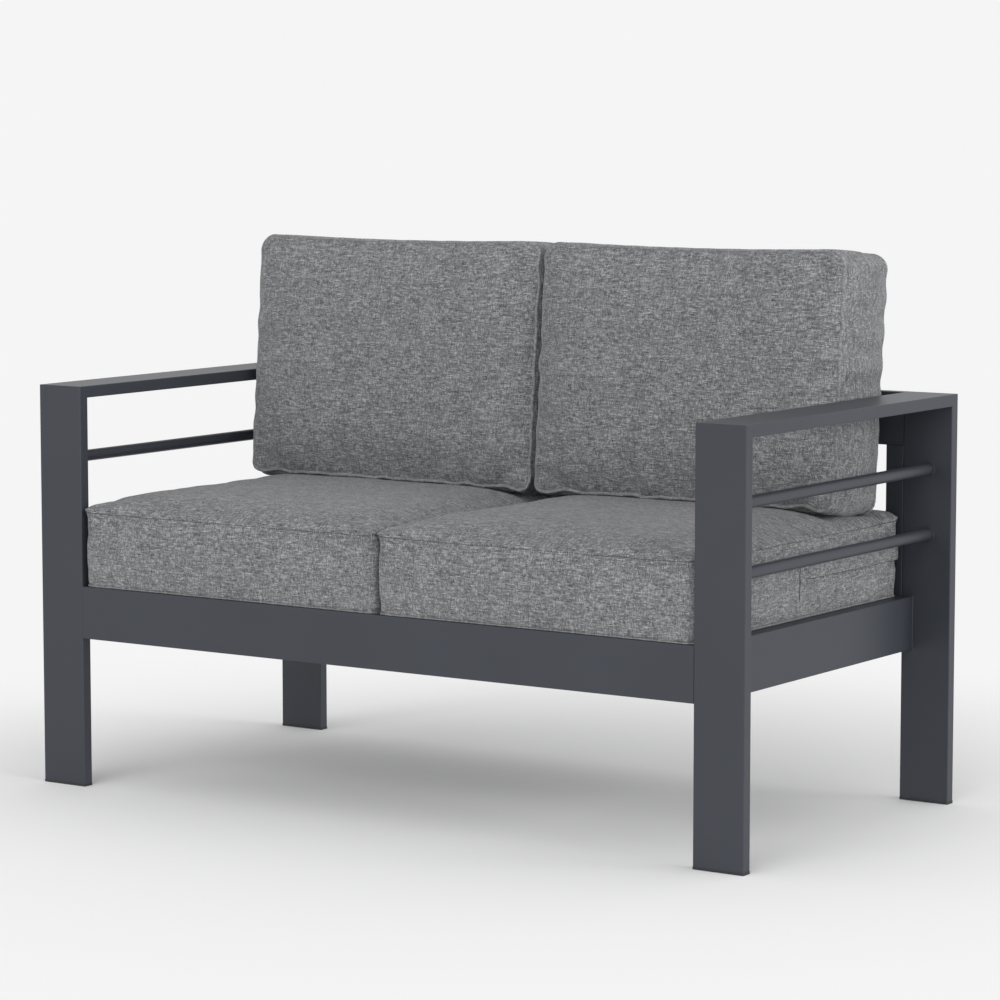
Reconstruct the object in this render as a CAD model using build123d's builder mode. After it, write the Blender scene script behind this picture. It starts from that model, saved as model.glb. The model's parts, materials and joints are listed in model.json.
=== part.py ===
from build123d import *
import os
from dataclasses import dataclass
from math import cos, radians, sin, tan

os.makedirs("parts", exist_ok=True)

# Patio loveseat, in millimetres: X to the right as seen from the front, Y to the rear, Z up from the floor.
# Two welded arm frames of flat aluminium tube carry a slatted seat frame and a back panel bolted between them.
# Two seat cushions and two back cushions lie loose on it, each a zipped cover over a foam core.

# Whole object
overall_width = 1280.0
overall_depth = 642.0
arm_height = 632.5
deck_height = 318.5
cut_overrun = 5.0

# Flat tube of the legs, armrests, rails and aprons
tube_width = 82.5
tube_thickness = 18.5
tube_wall = 1.5
tube_corner = 1.5
bore_corner = 0.6
mitre_round = 1.5

# Plastic end caps that the legs stand on
foot_height = 4.0
foot_proud = 0.5
foot_round = 2.0
stem_height = 14.0
stem_clearance = 0.2
stem_wall = 2.5

# Round bars that fill each arm
bar_diameter = 18.0
bar_wall = 1.5
bar_inset = 38.0
bar_rise_shares = (0.333, 0.672)

# Seat frame: beams along the arms, a cross beam and slats between the aprons
beam_width = 30.0
beam_height = 40.0
seat_slat_width = 60.0
seat_slat_count = 7

# Light tube of the back panel and the cross beam
light_width = 30.0
back_slat_count = 6

# Screws from inside the seat frame and the back panel into rivet nuts in the arms
screw_diameter = 6.0
screw_gap = 0.25
screw_tip = 0.8
head_diameter = 10.5
head_height = 3.3
head_lip = 0.8
head_flat_share = 0.55
socket_width = 4.0
socket_depth = 2.0
washer_diameter = 14.0
washer_thickness = 1.6
nut_diameter = 9.0
nut_gap = 0.05
nut_collar = 1.0
nut_collar_length = 2.5
nut_length_share = 0.75
screw_reach_share = 0.7
seat_screw_spacing = 420.0
back_screw_gap = 7.0
back_screw_shares = (0.0, 0.467)

# Cushions
rest_gap = 0.3
split_gap = 0.8
cover_thickness = 1.2
core_gap = 0.3
cushion_side_gap = 10.5
corner_growth_share = 0.2
corner_limit_share = 0.8
crown_power = 3
crown_shares = (0, 0.05, 0.15, 0.35, 0.65, 1)
edge_shares = (0, 0.35, 1)

# Seat cushions
seat_setback = 3.0
seat_rear_gap = 8.0
seat_corner = 18.0
seat_boxing = 115.0
seat_edge = 4.0
seat_edge_reach = 6.0
seat_crown = 12.0
seat_crown_reach = 200.0
seat_draw_in = 3.0

# Back cushions
lean = 4.8
back_standoff = 67.0
back_height = 395.0
back_corner = 26.0
back_boxing = 130.0
back_front_crown = 22.0
back_crown_reach = 165.0
back_draw_in = 4.0
piping_diameter = 5.6
piping_gap = 0.1

# Zippers, their sliders and the flap over the seat zipper
tape_width = 12.0
coil_width = 5.0
coil_height = 1.2
slider_length = 12.0
slider_width = 9.0
slider_roof = 1.5
slider_gap = 0.3
pull_length = 14.0
pull_width = 6.0
pull_thickness = 0.8
pull_corner = 1.2
seat_zip_rise = 66.0
seat_zip_start = 10.0
back_zip_setback = 18.0
flap_standoff = 5.0
flap_below = 16.0
flap_above = 12.0

# Places that follow from the sizes
half_width = overall_width / 2
front_face = -overall_depth / 2
rear_face = overall_depth / 2
arm_inner_face = half_width - tube_width
span_front = front_face + tube_thickness
span_rear = rear_face - tube_thickness
rail_middle = deck_height - tube_width / 2
top_rail_base = arm_height - tube_width
panel_middle = rear_face - tube_thickness / 2
beam_inner_face = arm_inner_face - beam_width
nut_length = nut_length_share * (tube_thickness - 2 * tube_wall)
screw_length = beam_width + washer_thickness + screw_reach_share * nut_length
seat_screws = [(place, deck_height - beam_height / 2) for place in (-seat_screw_spacing / 2, seat_screw_spacing / 2)]
stile_length = top_rail_base - deck_height
back_screw_base = deck_height + light_width + washer_diameter / 2 + back_screw_gap
back_screw_room = top_rail_base - washer_diameter / 2 - back_screw_gap - back_screw_base
back_screws = [(panel_middle, back_screw_base + share * back_screw_room) for share in back_screw_shares]
arm_gap = arm_height - tube_thickness - deck_height
bar_heights = [deck_height + share * arm_gap for share in bar_rise_shares]
sides = (("left", -1), ("right", 1))
ends = (("front", front_face, 1), ("rear", rear_face, -1))


def add_tube(start, width, thickness, length):
    """Add a hollow flat tube whose section lies on the start plane, width first, and runs along its normal."""
    with BuildSketch(start) as section:
        RectangleRounded(width, thickness, tube_corner)
        RectangleRounded(width - 2 * tube_wall, thickness - 2 * tube_wall, bore_corner, mode=Mode.SUBTRACT)
    extrude(section.sketch, amount=length)


def mitre_plane(outer, inward):
    """Plane of the mitre between a leg and the armrest, with its normal on the armrest's side."""
    return Plane(origin=(0, outer, arm_height), x_dir=(1, 0, 0), z_dir=(0, inward, 1))


def round_mitre(outer, inward):
    """Round off the ground outer edge where a leg and the armrest meet."""
    square = mitre_round + cut_overrun
    middle = (mitre_round - cut_overrun) / 2
    with BuildSketch(Plane.YZ.offset(-half_width - cut_overrun)) as corner:
        with Locations((outer + inward * middle, arm_height - middle)):
            Rectangle(square, square)
        with Locations((outer + inward * mitre_round, arm_height - mitre_round)):
            Circle(mitre_round, mode=Mode.SUBTRACT)
    extrude(corner.sketch, amount=overall_width + 2 * cut_overrun, mode=Mode.SUBTRACT)


def cut_screw_holes(way, places, radius, reach):
    """Cut round holes along X from an arm's inner face, into the arm where reach is positive."""
    with BuildSketch(Plane(origin=(way * arm_inner_face, 0, 0), x_dir=(0, 1, 0), z_dir=(way, 0, 0))) as holes:
        with Locations(*[(y, way * z) for y, z in places]):
            Circle(radius)
    extrude(holes.sketch, amount=reach, mode=Mode.SUBTRACT)


def spread(count, width, low, high):
    """Centres of equal pieces with equal gaps between them and at both ends of a span."""
    gap = (high - low - count * width) / (count + 1)
    return [low + gap + width / 2 + place * (gap + width) for place in range(count)]


# Arm frames: legs and armrest of one tube, mitred at the top corners
for side, way in sides:
    arm_middle = way * (half_width - tube_width / 2)
    for end, outer, inward in ends:
        middle = outer + inward * tube_thickness / 2
        with BuildPart() as leg:
            start = Plane(origin=(arm_middle, middle, foot_height), x_dir=(1, 0, 0), z_dir=(0, 0, 1))
            add_tube(start, tube_width, tube_thickness, arm_height - foot_height)
            split(bisect_by=mitre_plane(outer, inward), keep=Keep.BOTTOM)
            round_mitre(outer, inward)
            if end == "rear":
                cut_screw_holes(way, back_screws, nut_diameter / 2 + nut_gap, tube_wall)
        leg.part.label = f"{side}_{end}_leg"
        export_step(leg.part, f"parts/{leg.part.label}.step")

        stem_width = tube_width - 2 * tube_wall - 2 * stem_clearance
        stem_thickness = tube_thickness - 2 * tube_wall - 2 * stem_clearance
        with BuildPart() as foot:
            with BuildSketch(Plane(origin=(arm_middle, middle, 0))):
                RectangleRounded(tube_width + 2 * foot_proud, tube_thickness + 2 * foot_proud, foot_round)
            extrude(amount=foot_height)
            with BuildSketch(Plane(origin=(arm_middle, middle, foot_height))):
                Rectangle(stem_width, stem_thickness)
                with Locations((-stem_width / 4, 0), (stem_width / 4, 0)):
                    Rectangle(stem_width / 2 - 2 * stem_wall, stem_thickness - 2 * stem_wall, mode=Mode.SUBTRACT)
            extrude(amount=stem_height)
        foot.part.label = f"{side}_{end}_foot"
        export_step(foot.part, f"parts/{foot.part.label}.step")

    with BuildPart() as armrest:
        start = Plane(origin=(arm_middle, front_face, arm_height - tube_thickness / 2), x_dir=(1, 0, 0), z_dir=(0, 1, 0))
        add_tube(start, tube_width, tube_thickness, overall_depth)
        for end, outer, inward in ends:
            split(bisect_by=mitre_plane(outer, inward), keep=Keep.TOP)
            round_mitre(outer, inward)
    armrest.part.label = f"{side}_armrest"
    export_step(armrest.part, f"parts/{armrest.part.label}.step")

    with BuildPart() as side_rail:
        middle = way * (arm_inner_face + tube_thickness / 2)
        start = Plane(origin=(middle, span_front, rail_middle), x_dir=(0, 0, 1), z_dir=(0, 1, 0))
        add_tube(start, tube_width, tube_thickness, span_rear - span_front)
        cut_screw_holes(way, seat_screws, nut_diameter / 2 + nut_gap, tube_wall)
    side_rail.part.label = f"{side}_side_rail"
    export_step(side_rail.part, f"parts/{side_rail.part.label}.step")

    for place, height in zip(("lower", "upper"), bar_heights):
        with BuildPart() as bar:
            with BuildSketch(Plane(origin=(way * (half_width - bar_inset), span_front, height), z_dir=(0, 1, 0))):
                Circle(bar_diameter / 2)
                Circle(bar_diameter / 2 - bar_wall, mode=Mode.SUBTRACT)
            extrude(amount=span_rear - span_front)
        bar.part.label = f"{side}_{place}_bar"
        export_step(bar.part, f"parts/{bar.part.label}.step")

# Seat frame: aprons between the legs, beams along the side rails, a cross beam and the slats
for end, outer, inward in ends:
    with BuildPart() as apron:
        middle = outer + inward * tube_thickness / 2
        start = Plane(origin=(-arm_inner_face, middle, rail_middle), x_dir=(0, 0, 1), z_dir=(1, 0, 0))
        add_tube(start, tube_width, tube_thickness, 2 * arm_inner_face)
    apron.part.label = f"{end}_apron"
    export_step(apron.part, f"parts/{apron.part.label}.step")

for side, way in sides:
    with BuildPart() as beam:
        middle = (way * (arm_inner_face - beam_width / 2), span_front, deck_height - beam_height / 2)
        add_tube(Plane(origin=middle, x_dir=(0, 0, 1), z_dir=(0, 1, 0)), beam_height, beam_width, span_rear - span_front)
        cut_screw_holes(way, seat_screws, screw_diameter / 2 + screw_gap, -beam_width)
    beam.part.label = f"seat_{side}_beam"
    export_step(beam.part, f"parts/{beam.part.label}.step")

with BuildPart() as cross_beam:
    middle = (-beam_inner_face, 0, deck_height - tube_thickness - tube_thickness / 2)
    add_tube(Plane(origin=middle, x_dir=(0, 1, 0), z_dir=(1, 0, 0)), light_width, tube_thickness, 2 * beam_inner_face)
cross_beam.part.label = "seat_cross_beam"
export_step(cross_beam.part, "parts/seat_cross_beam.step")

slat_centres = spread(seat_slat_count, seat_slat_width, -beam_inner_face, beam_inner_face)
for number, centre in enumerate(slat_centres, start=1):
    with BuildPart() as seat_slat:
        middle = (centre, span_front, deck_height - tube_thickness / 2)
        start = Plane(origin=middle, x_dir=(1, 0, 0), z_dir=(0, 1, 0))
        add_tube(start, seat_slat_width, tube_thickness, span_rear - span_front)
    seat_slat.part.label = f"seat_slat_{number}"
    export_step(seat_slat.part, f"parts/{seat_slat.part.label}.step")

# Back panel: a top rail level with the armrests, a bottom rail on the rear apron, stiles and upright slats
with BuildPart() as top_rail:
    middle = (-arm_inner_face, panel_middle, top_rail_base + tube_width / 2)
    add_tube(Plane(origin=middle, x_dir=(0, 0, 1), z_dir=(1, 0, 0)), tube_width, tube_thickness, 2 * arm_inner_face)
top_rail.part.label = "back_top_rail"
export_step(top_rail.part, "parts/back_top_rail.step")

stile_inner_face = arm_inner_face - light_width
with BuildPart() as bottom_rail:
    middle = (-stile_inner_face, panel_middle, deck_height + light_width / 2)
    add_tube(Plane(origin=middle, x_dir=(0, 0, 1), z_dir=(1, 0, 0)), light_width, tube_thickness, 2 * stile_inner_face)
bottom_rail.part.label = "back_bottom_rail"
export_step(bottom_rail.part, "parts/back_bottom_rail.step")

for side, way in sides:
    with BuildPart() as stile:
        start = Plane(origin=(way * (arm_inner_face - light_width / 2), panel_middle, deck_height))
        add_tube(start, light_width, tube_thickness, stile_length)
        cut_screw_holes(way, back_screws, screw_diameter / 2 + screw_gap, -light_width)
    stile.part.label = f"back_{side}_stile"
    export_step(stile.part, f"parts/{stile.part.label}.step")

slat_base = deck_height + light_width
for number, centre in enumerate(spread(back_slat_count, light_width, -stile_inner_face, stile_inner_face), start=1):
    with BuildPart() as back_slat:
        add_tube(Plane(origin=(centre, panel_middle, slat_base)), light_width, tube_thickness, top_rail_base - slat_base)
    back_slat.part.label = f"back_slat_{number}"
    export_step(back_slat.part, f"parts/{back_slat.part.label}.step")

# Fasteners: one screw, washer and rivet nut each, then a set of each in its holes
with BuildPart() as screw:
    with BuildSketch(Plane.XZ):
        with BuildLine():
            top = (head_flat_share * head_diameter / 2, -head_height)
            Line((0, -head_height), top)
            Line((0, screw_length), (0, -head_height))
            dome = ThreePointArc(
                top,
                ((top[0] + head_diameter / 2) / 2 + head_lip / 2, (top[1] - head_lip) / 2 - head_lip / 2),
                (head_diameter / 2, -head_lip),
            )
            Polyline(
                dome @ 1,
                (head_diameter / 2, 0),
                (screw_diameter / 2, 0),
                (screw_diameter / 2, screw_length - screw_tip),
                (screw_diameter / 2 - screw_tip, screw_length),
                (0, screw_length),
            )
        make_face()
    revolve(axis=Axis.Z)
    with BuildSketch(Plane.XY.offset(-head_height)):
        RegularPolygon(socket_width / 2, 6, major_radius=False)
    extrude(amount=socket_depth, mode=Mode.SUBTRACT)

with BuildPart() as washer:
    with BuildSketch():
        Circle(washer_diameter / 2)
        Circle(screw_diameter / 2 + screw_gap, mode=Mode.SUBTRACT)
    extrude(amount=washer_thickness)

with BuildPart() as rivet_nut:
    with BuildSketch():
        Circle(nut_diameter / 2)
    extrude(amount=nut_length)
    with BuildSketch(Plane.XY.offset(tube_wall)):
        Circle(nut_diameter / 2 + nut_collar)
    extrude(amount=nut_collar_length)
    with BuildSketch():
        Circle(screw_diameter / 2 + nut_gap)
    extrude(amount=nut_length, mode=Mode.SUBTRACT)

screw_places = [(way, y, z) for side, way in sides for y, z in seat_screws + back_screws]


def fastener_location(way, y, z, step):
    """Place on a screw's axis, a step in from the arm's inner face, pointing into the arm."""
    return Plane(origin=(way * (arm_inner_face - step), y, z), x_dir=(0, 1, 0), z_dir=(way, 0, 0)).location


with BuildPart() as screws:
    for way, y, z in screw_places:
        add(screw.part.moved(fastener_location(way, y, z, beam_width + washer_thickness)))
screws.part.label = "screws"
export_step(screws.part, "parts/screws.step")

with BuildPart() as washers:
    for way, y, z in screw_places:
        add(washer.part.moved(fastener_location(way, y, z, beam_width + washer_thickness)))
washers.part.label = "washers"
export_step(washers.part, "parts/washers.step")

with BuildPart() as rivet_nuts:
    for way, y, z in screw_places:
        add(rivet_nut.part.moved(fastener_location(way, y, z, 0)))
rivet_nuts.part.label = "rivet_nuts"
export_step(rivet_nuts.part, "parts/rivet_nuts.step")


@dataclass(frozen=True)
class Cushion:
    """A boxed cushion: two crowned panels joined at their seams by a boxing of constant depth."""

    seam: Plane
    half_x: float
    half_y: float
    corner: float
    boxing: float
    low_crown: float
    low_reach: float
    low_shares: tuple
    high_crown: float
    high_reach: float
    draw_low: float
    draw_high: float
    draw_side: float

    def outline(self, inset, fade=0, mode=Mode.ADD):
        """Draw the seam's outline, set in, with its sides drawn in between rounded corners."""
        x, y = self.half_x - inset, self.half_y - inset
        corner = min(self.corner + corner_growth_share * inset, corner_limit_share * min(x, y))
        corners = [(-x, -y), (x, -y), (x, y), (-x, y)]
        middles = [
            (0, -y + self.draw_low * (1 - fade)),
            (x - self.draw_side * (1 - fade), 0),
            (0, y - self.draw_high * (1 - fade)),
            (-x + self.draw_side * (1 - fade), 0),
        ]
        with BuildSketch(mode=Mode.PRIVATE) as form:
            with BuildLine():
                for number, middle in enumerate(middles):
                    start, end = corners[number], corners[(number + 1) % len(corners)]
                    if abs(middle[0]) == x or abs(middle[1]) == y:
                        Line(start, end)
                    else:
                        ThreePointArc(start, middle, end)
            make_face()
            fillet(form.vertices(), radius=corner)
        add(form.sketch, mode=mode)

    def add_form(self, shrink=0, mode=Mode.ADD):
        """Add the stuffed form, drawn in all round by shrink."""
        low_slices, high_slices = [], []
        for share in reversed(self.low_shares):
            with BuildSketch(self.seam.offset(shrink - crown_rise(self.low_crown, share))) as low_slice:
                self.outline(shrink + share * self.low_reach, fade=share)
            low_slices.append(low_slice.sketch)
        loft(low_slices, mode=mode)
        with BuildSketch(self.seam.offset(shrink)) as box:
            self.outline(shrink)
        extrude(box.sketch, amount=self.boxing - 2 * shrink, mode=mode)
        for share in crown_shares:
            height = self.boxing - shrink + crown_rise(self.high_crown, share)
            with BuildSketch(self.seam.offset(height)) as high_slice:
                self.outline(shrink + share * self.high_reach, fade=share)
            high_slices.append(high_slice.sketch)
        loft(high_slices, mode=mode)

    def add_band(self, outer, inner, low, high, mode=Mode.ADD):
        """Add a strip that runs round the boxing between two insets and two heights above the seam."""
        with BuildSketch(self.seam.offset(low)) as ring:
            self.outline(outer)
            self.outline(inner, mode=Mode.SUBTRACT)
        extrude(ring.sketch, amount=high - low, mode=mode)


def crown_rise(crown, share):
    """Height of a crowned panel over its seam, at a share of the way in to its flat middle."""
    return crown * (1 - (1 - share) ** crown_power)


def trim(cuts):
    """Cut the part in hand at each point and keep what lies in the direction that goes with it."""
    for point, direction in cuts:
        split(bisect_by=Plane(origin=point, z_dir=direction), keep=Keep.TOP)


def add_slider(start):
    """Add a zipper slider that straddles the coil, with its pull, on a plane that lies on the tape."""
    roof = coil_height + slider_gap
    with BuildSketch(start.offset(slider_gap)) as block:
        Rectangle(slider_length, slider_width)
    extrude(block.sketch, amount=coil_height + slider_roof)
    with BuildSketch(start.offset(slider_gap)) as channel:
        Rectangle(slider_length, coil_width + 2 * slider_gap)
    extrude(channel.sketch, amount=roof - slider_gap, mode=Mode.SUBTRACT)
    with BuildSketch(start.offset(roof + slider_roof)) as pull:
        with Locations((0, pull_length / 2)):
            RectangleRounded(pull_width, pull_length, pull_corner)
    extrude(pull.sketch, amount=pull_thickness)


cushion_length = arm_inner_face - cushion_side_gap - split_gap / 2
cushion_centre = split_gap / 2 + cushion_length / 2
seat_front = front_face + seat_setback
seat_rear = span_rear - seat_rear_gap
seat_seam_height = deck_height + rest_gap + seat_edge
seat_top_seam = seat_seam_height + seat_boxing
leaning_up = (0, sin(radians(lean)), cos(radians(lean)))
leaning_forward = (0, -cos(radians(lean)), sin(radians(lean)))

for side, way in sides:
    # Seat cushion: flat where it lies on the deck, with a zipper along its rear and round its outer side
    seam_middle = (way * cushion_centre, (seat_front + seat_rear) / 2, seat_seam_height)
    seat = Cushion(
        seam=Plane(origin=seam_middle),
        half_x=cushion_length / 2,
        half_y=(seat_rear - seat_front) / 2,
        corner=seat_corner,
        boxing=seat_boxing,
        low_crown=seat_edge,
        low_reach=seat_edge_reach,
        low_shares=edge_shares,
        high_crown=seat_crown,
        high_reach=seat_crown_reach,
        draw_low=seat_draw_in,
        draw_high=0,
        draw_side=seat_draw_in,
    )
    zip_low, zip_high = seat_zip_rise - tape_width / 2, seat_zip_rise + tape_width / 2
    parked = seam_middle[0] - way * (seat.half_x - seat.corner - slider_length)
    zip_cuts = (
        ((parked - way * slider_length, 0, 0), (way, 0, 0)),
        ((0, seam_middle[1] + seat_zip_start, 0), (0, 1, 0)),
    )

    with BuildPart() as zipper:
        seat.add_band(0, cover_thickness, zip_low, zip_high)
        seat.add_band(-coil_height, 0, seat_zip_rise - coil_width / 2, seat_zip_rise + coil_width / 2)
        trim(zip_cuts)
    zipper.part.label = f"seat_cushion_{side}_zipper"
    export_step(zipper.part, f"parts/{zipper.part.label}.step")

    with BuildPart() as zip_slot:
        seat.add_band(-cut_overrun, cover_thickness + core_gap, zip_low, zip_high)
        trim(zip_cuts)

    with BuildPart() as flap:
        flap_outer = -flap_standoff - cover_thickness
        flap_top = zip_high + flap_above
        seat.add_band(flap_outer, -flap_standoff, seat_zip_rise - flap_below, flap_top)
        seat.add_band(flap_outer, 0, flap_top - cover_thickness, flap_top)
        trim(zip_cuts)

    with BuildPart() as cover:
        seat.add_form()
        seat.add_form(cover_thickness, Mode.SUBTRACT)
        add(zip_slot.part, mode=Mode.SUBTRACT)
        add(flap.part)
    cover.part.label = f"seat_cushion_{side}_cover"
    export_step(cover.part, f"parts/{cover.part.label}.step")

    with BuildPart() as core:
        seat.add_form(cover_thickness + core_gap)
    core.part.label = f"seat_cushion_{side}_core"
    export_step(core.part, f"parts/{core.part.label}.step")

    with BuildPart() as slider:
        height = seat_seam_height + seat_zip_rise
        add_slider(Plane(origin=(parked, seat_rear, height), x_dir=(1, 0, 0), z_dir=(0, 1, 0)))
    slider.part.label = f"seat_cushion_{side}_slider"
    export_step(slider.part, f"parts/{slider.part.label}.step")

    # Back cushion: stands on the seat cushion and leans on the top rail with the crown of its rear panel
    seat_inset = seat_rear - (span_rear - back_standoff)
    rest_height = seat_top_seam + crown_rise(seat_crown, seat_inset / seat_crown_reach) + rest_gap
    seam_distance = back_standoff - (arm_height - rest_height) * tan(radians(lean)) - rest_gap
    rise = back_height / 2
    seam_middle = (
        way * cushion_centre,
        span_rear - back_standoff + rise * leaning_up[1],
        rest_height + rise * leaning_up[2],
    )
    piping_reach = piping_diameter + piping_gap
    back = Cushion(
        seam=Plane(origin=seam_middle, x_dir=(1, 0, 0), z_dir=leaning_forward),
        half_x=cushion_length / 2 - piping_reach,
        half_y=back_height / 2 - piping_reach,
        corner=back_corner,
        boxing=back_boxing,
        low_crown=seam_distance * cos(radians(lean)),
        low_reach=back_crown_reach,
        low_shares=crown_shares,
        high_crown=back_front_crown,
        high_reach=back_crown_reach,
        draw_low=0,
        draw_high=back_draw_in,
        draw_side=back_draw_in,
    )
    zip_middle = back_boxing - back_zip_setback
    zip_low, zip_high = zip_middle - tape_width / 2, zip_middle + tape_width / 2
    parked = seam_middle[0] - way * (back.half_x - back.corner - slider_length)
    below = tuple(-part for part in leaning_up)
    zip_cuts = (
        ((parked - way * slider_length, 0, 0), (way, 0, 0)),
        ((2 * seam_middle[0] - parked + way * slider_length, 0, 0), (-way, 0, 0)),
        (seam_middle, below),
    )

    with BuildPart() as zipper:
        back.add_band(0, cover_thickness, zip_low, zip_high)
        back.add_band(-coil_height, 0, zip_middle - coil_width / 2, zip_middle + coil_width / 2)
        trim(zip_cuts)
    zipper.part.label = f"back_cushion_{side}_zipper"
    export_step(zipper.part, f"parts/{zipper.part.label}.step")

    with BuildPart() as zip_slot:
        back.add_band(-cut_overrun, cover_thickness + core_gap, zip_low, zip_high)
        trim(zip_cuts)

    with BuildPart() as cover:
        back.add_form()
        back.add_form(cover_thickness, Mode.SUBTRACT)
        add(zip_slot.part, mode=Mode.SUBTRACT)
    cover.part.label = f"back_cushion_{side}_cover"
    export_step(cover.part, f"parts/{cover.part.label}.step")

    with BuildPart() as core:
        back.add_form(cover_thickness + core_gap)
    core.part.label = f"back_cushion_{side}_core"
    export_step(core.part, f"parts/{core.part.label}.step")

    with BuildPart() as piping:
        for height in (0, back_boxing):
            with BuildSketch(back.seam.offset(height), mode=Mode.PRIVATE) as loop:
                back.outline(-piping_diameter / 2 - piping_gap)
            seam_line = loop.sketch.face().outer_wire()
            with BuildSketch(Plane(origin=seam_line @ 0, z_dir=seam_line % 0)) as section:
                Circle(piping_diameter / 2)
            sweep(section.sketch, path=seam_line)
    piping.part.label = f"back_cushion_{side}_piping"
    export_step(piping.part, f"parts/{piping.part.label}.step")

    with BuildPart() as slider:
        middle = Vector(*seam_middle) + Vector(*leaning_forward) * zip_middle + Vector(*below) * back.half_y
        add_slider(Plane(origin=(parked, middle.Y, middle.Z), x_dir=(1, 0, 0), z_dir=below))
    slider.part.label = f"back_cushion_{side}_slider"
    export_step(slider.part, f"parts/{slider.part.label}.step")
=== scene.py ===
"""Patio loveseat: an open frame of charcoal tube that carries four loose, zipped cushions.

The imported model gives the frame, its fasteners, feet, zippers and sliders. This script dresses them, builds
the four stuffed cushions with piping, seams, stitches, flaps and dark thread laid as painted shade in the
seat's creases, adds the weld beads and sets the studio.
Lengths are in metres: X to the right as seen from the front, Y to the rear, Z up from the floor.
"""

from __future__ import annotations

import json
import logging
import math
from dataclasses import dataclass, field, replace
from enum import Enum
from typing import Sequence

import bpy
import numpy as np
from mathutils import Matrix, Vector

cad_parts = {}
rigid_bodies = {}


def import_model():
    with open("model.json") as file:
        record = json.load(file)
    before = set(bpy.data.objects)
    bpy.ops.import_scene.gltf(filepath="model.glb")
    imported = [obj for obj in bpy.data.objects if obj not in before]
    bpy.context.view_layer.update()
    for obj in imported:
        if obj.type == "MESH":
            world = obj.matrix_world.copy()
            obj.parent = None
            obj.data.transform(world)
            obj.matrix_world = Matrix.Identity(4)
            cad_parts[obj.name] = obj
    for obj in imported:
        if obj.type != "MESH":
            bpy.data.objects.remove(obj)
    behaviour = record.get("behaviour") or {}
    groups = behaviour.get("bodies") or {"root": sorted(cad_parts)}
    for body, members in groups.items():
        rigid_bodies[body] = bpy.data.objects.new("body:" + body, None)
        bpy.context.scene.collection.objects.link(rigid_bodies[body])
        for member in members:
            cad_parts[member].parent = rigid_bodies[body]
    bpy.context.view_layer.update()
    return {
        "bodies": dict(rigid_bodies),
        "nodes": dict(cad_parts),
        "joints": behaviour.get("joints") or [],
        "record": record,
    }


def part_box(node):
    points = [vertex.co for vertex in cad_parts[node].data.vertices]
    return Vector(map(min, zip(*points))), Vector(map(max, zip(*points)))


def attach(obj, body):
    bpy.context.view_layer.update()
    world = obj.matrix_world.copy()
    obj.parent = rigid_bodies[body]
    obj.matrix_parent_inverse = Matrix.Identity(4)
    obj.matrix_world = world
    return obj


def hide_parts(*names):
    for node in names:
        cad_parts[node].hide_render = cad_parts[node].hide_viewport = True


log = logging.getLogger("loveseat")

Colour = tuple[float, float, float]
Socket = bpy.types.NodeSocket

MM = 0.001
SIDES = (("left", -1), ("right", 1))

# The least part of an outline's outward way with which it counts as facing along an axis.
FACING = 0.9


def eased(share: object) -> object:
    """Rise quickly from 0 and settle slowly at 1."""
    return 1 - (1 - np.clip(share, 0, 1)) ** 3


def hump(distance: np.ndarray, reach: float) -> np.ndarray:
    """A smooth hump: 1 at no distance, fading away past its reach."""
    return np.exp(-((distance / reach) ** 2))


class Slot(Enum):
    """The material slots of the record."""

    COAT = "powder_coat"
    FOOT = "foot_plastic"
    STEEL = "fastener_steel"
    COVER = "cover_fabric"
    PIPING = "piping_fabric"
    TAPE = "zip_tape"
    SLIDER = "zip_slider"


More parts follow.
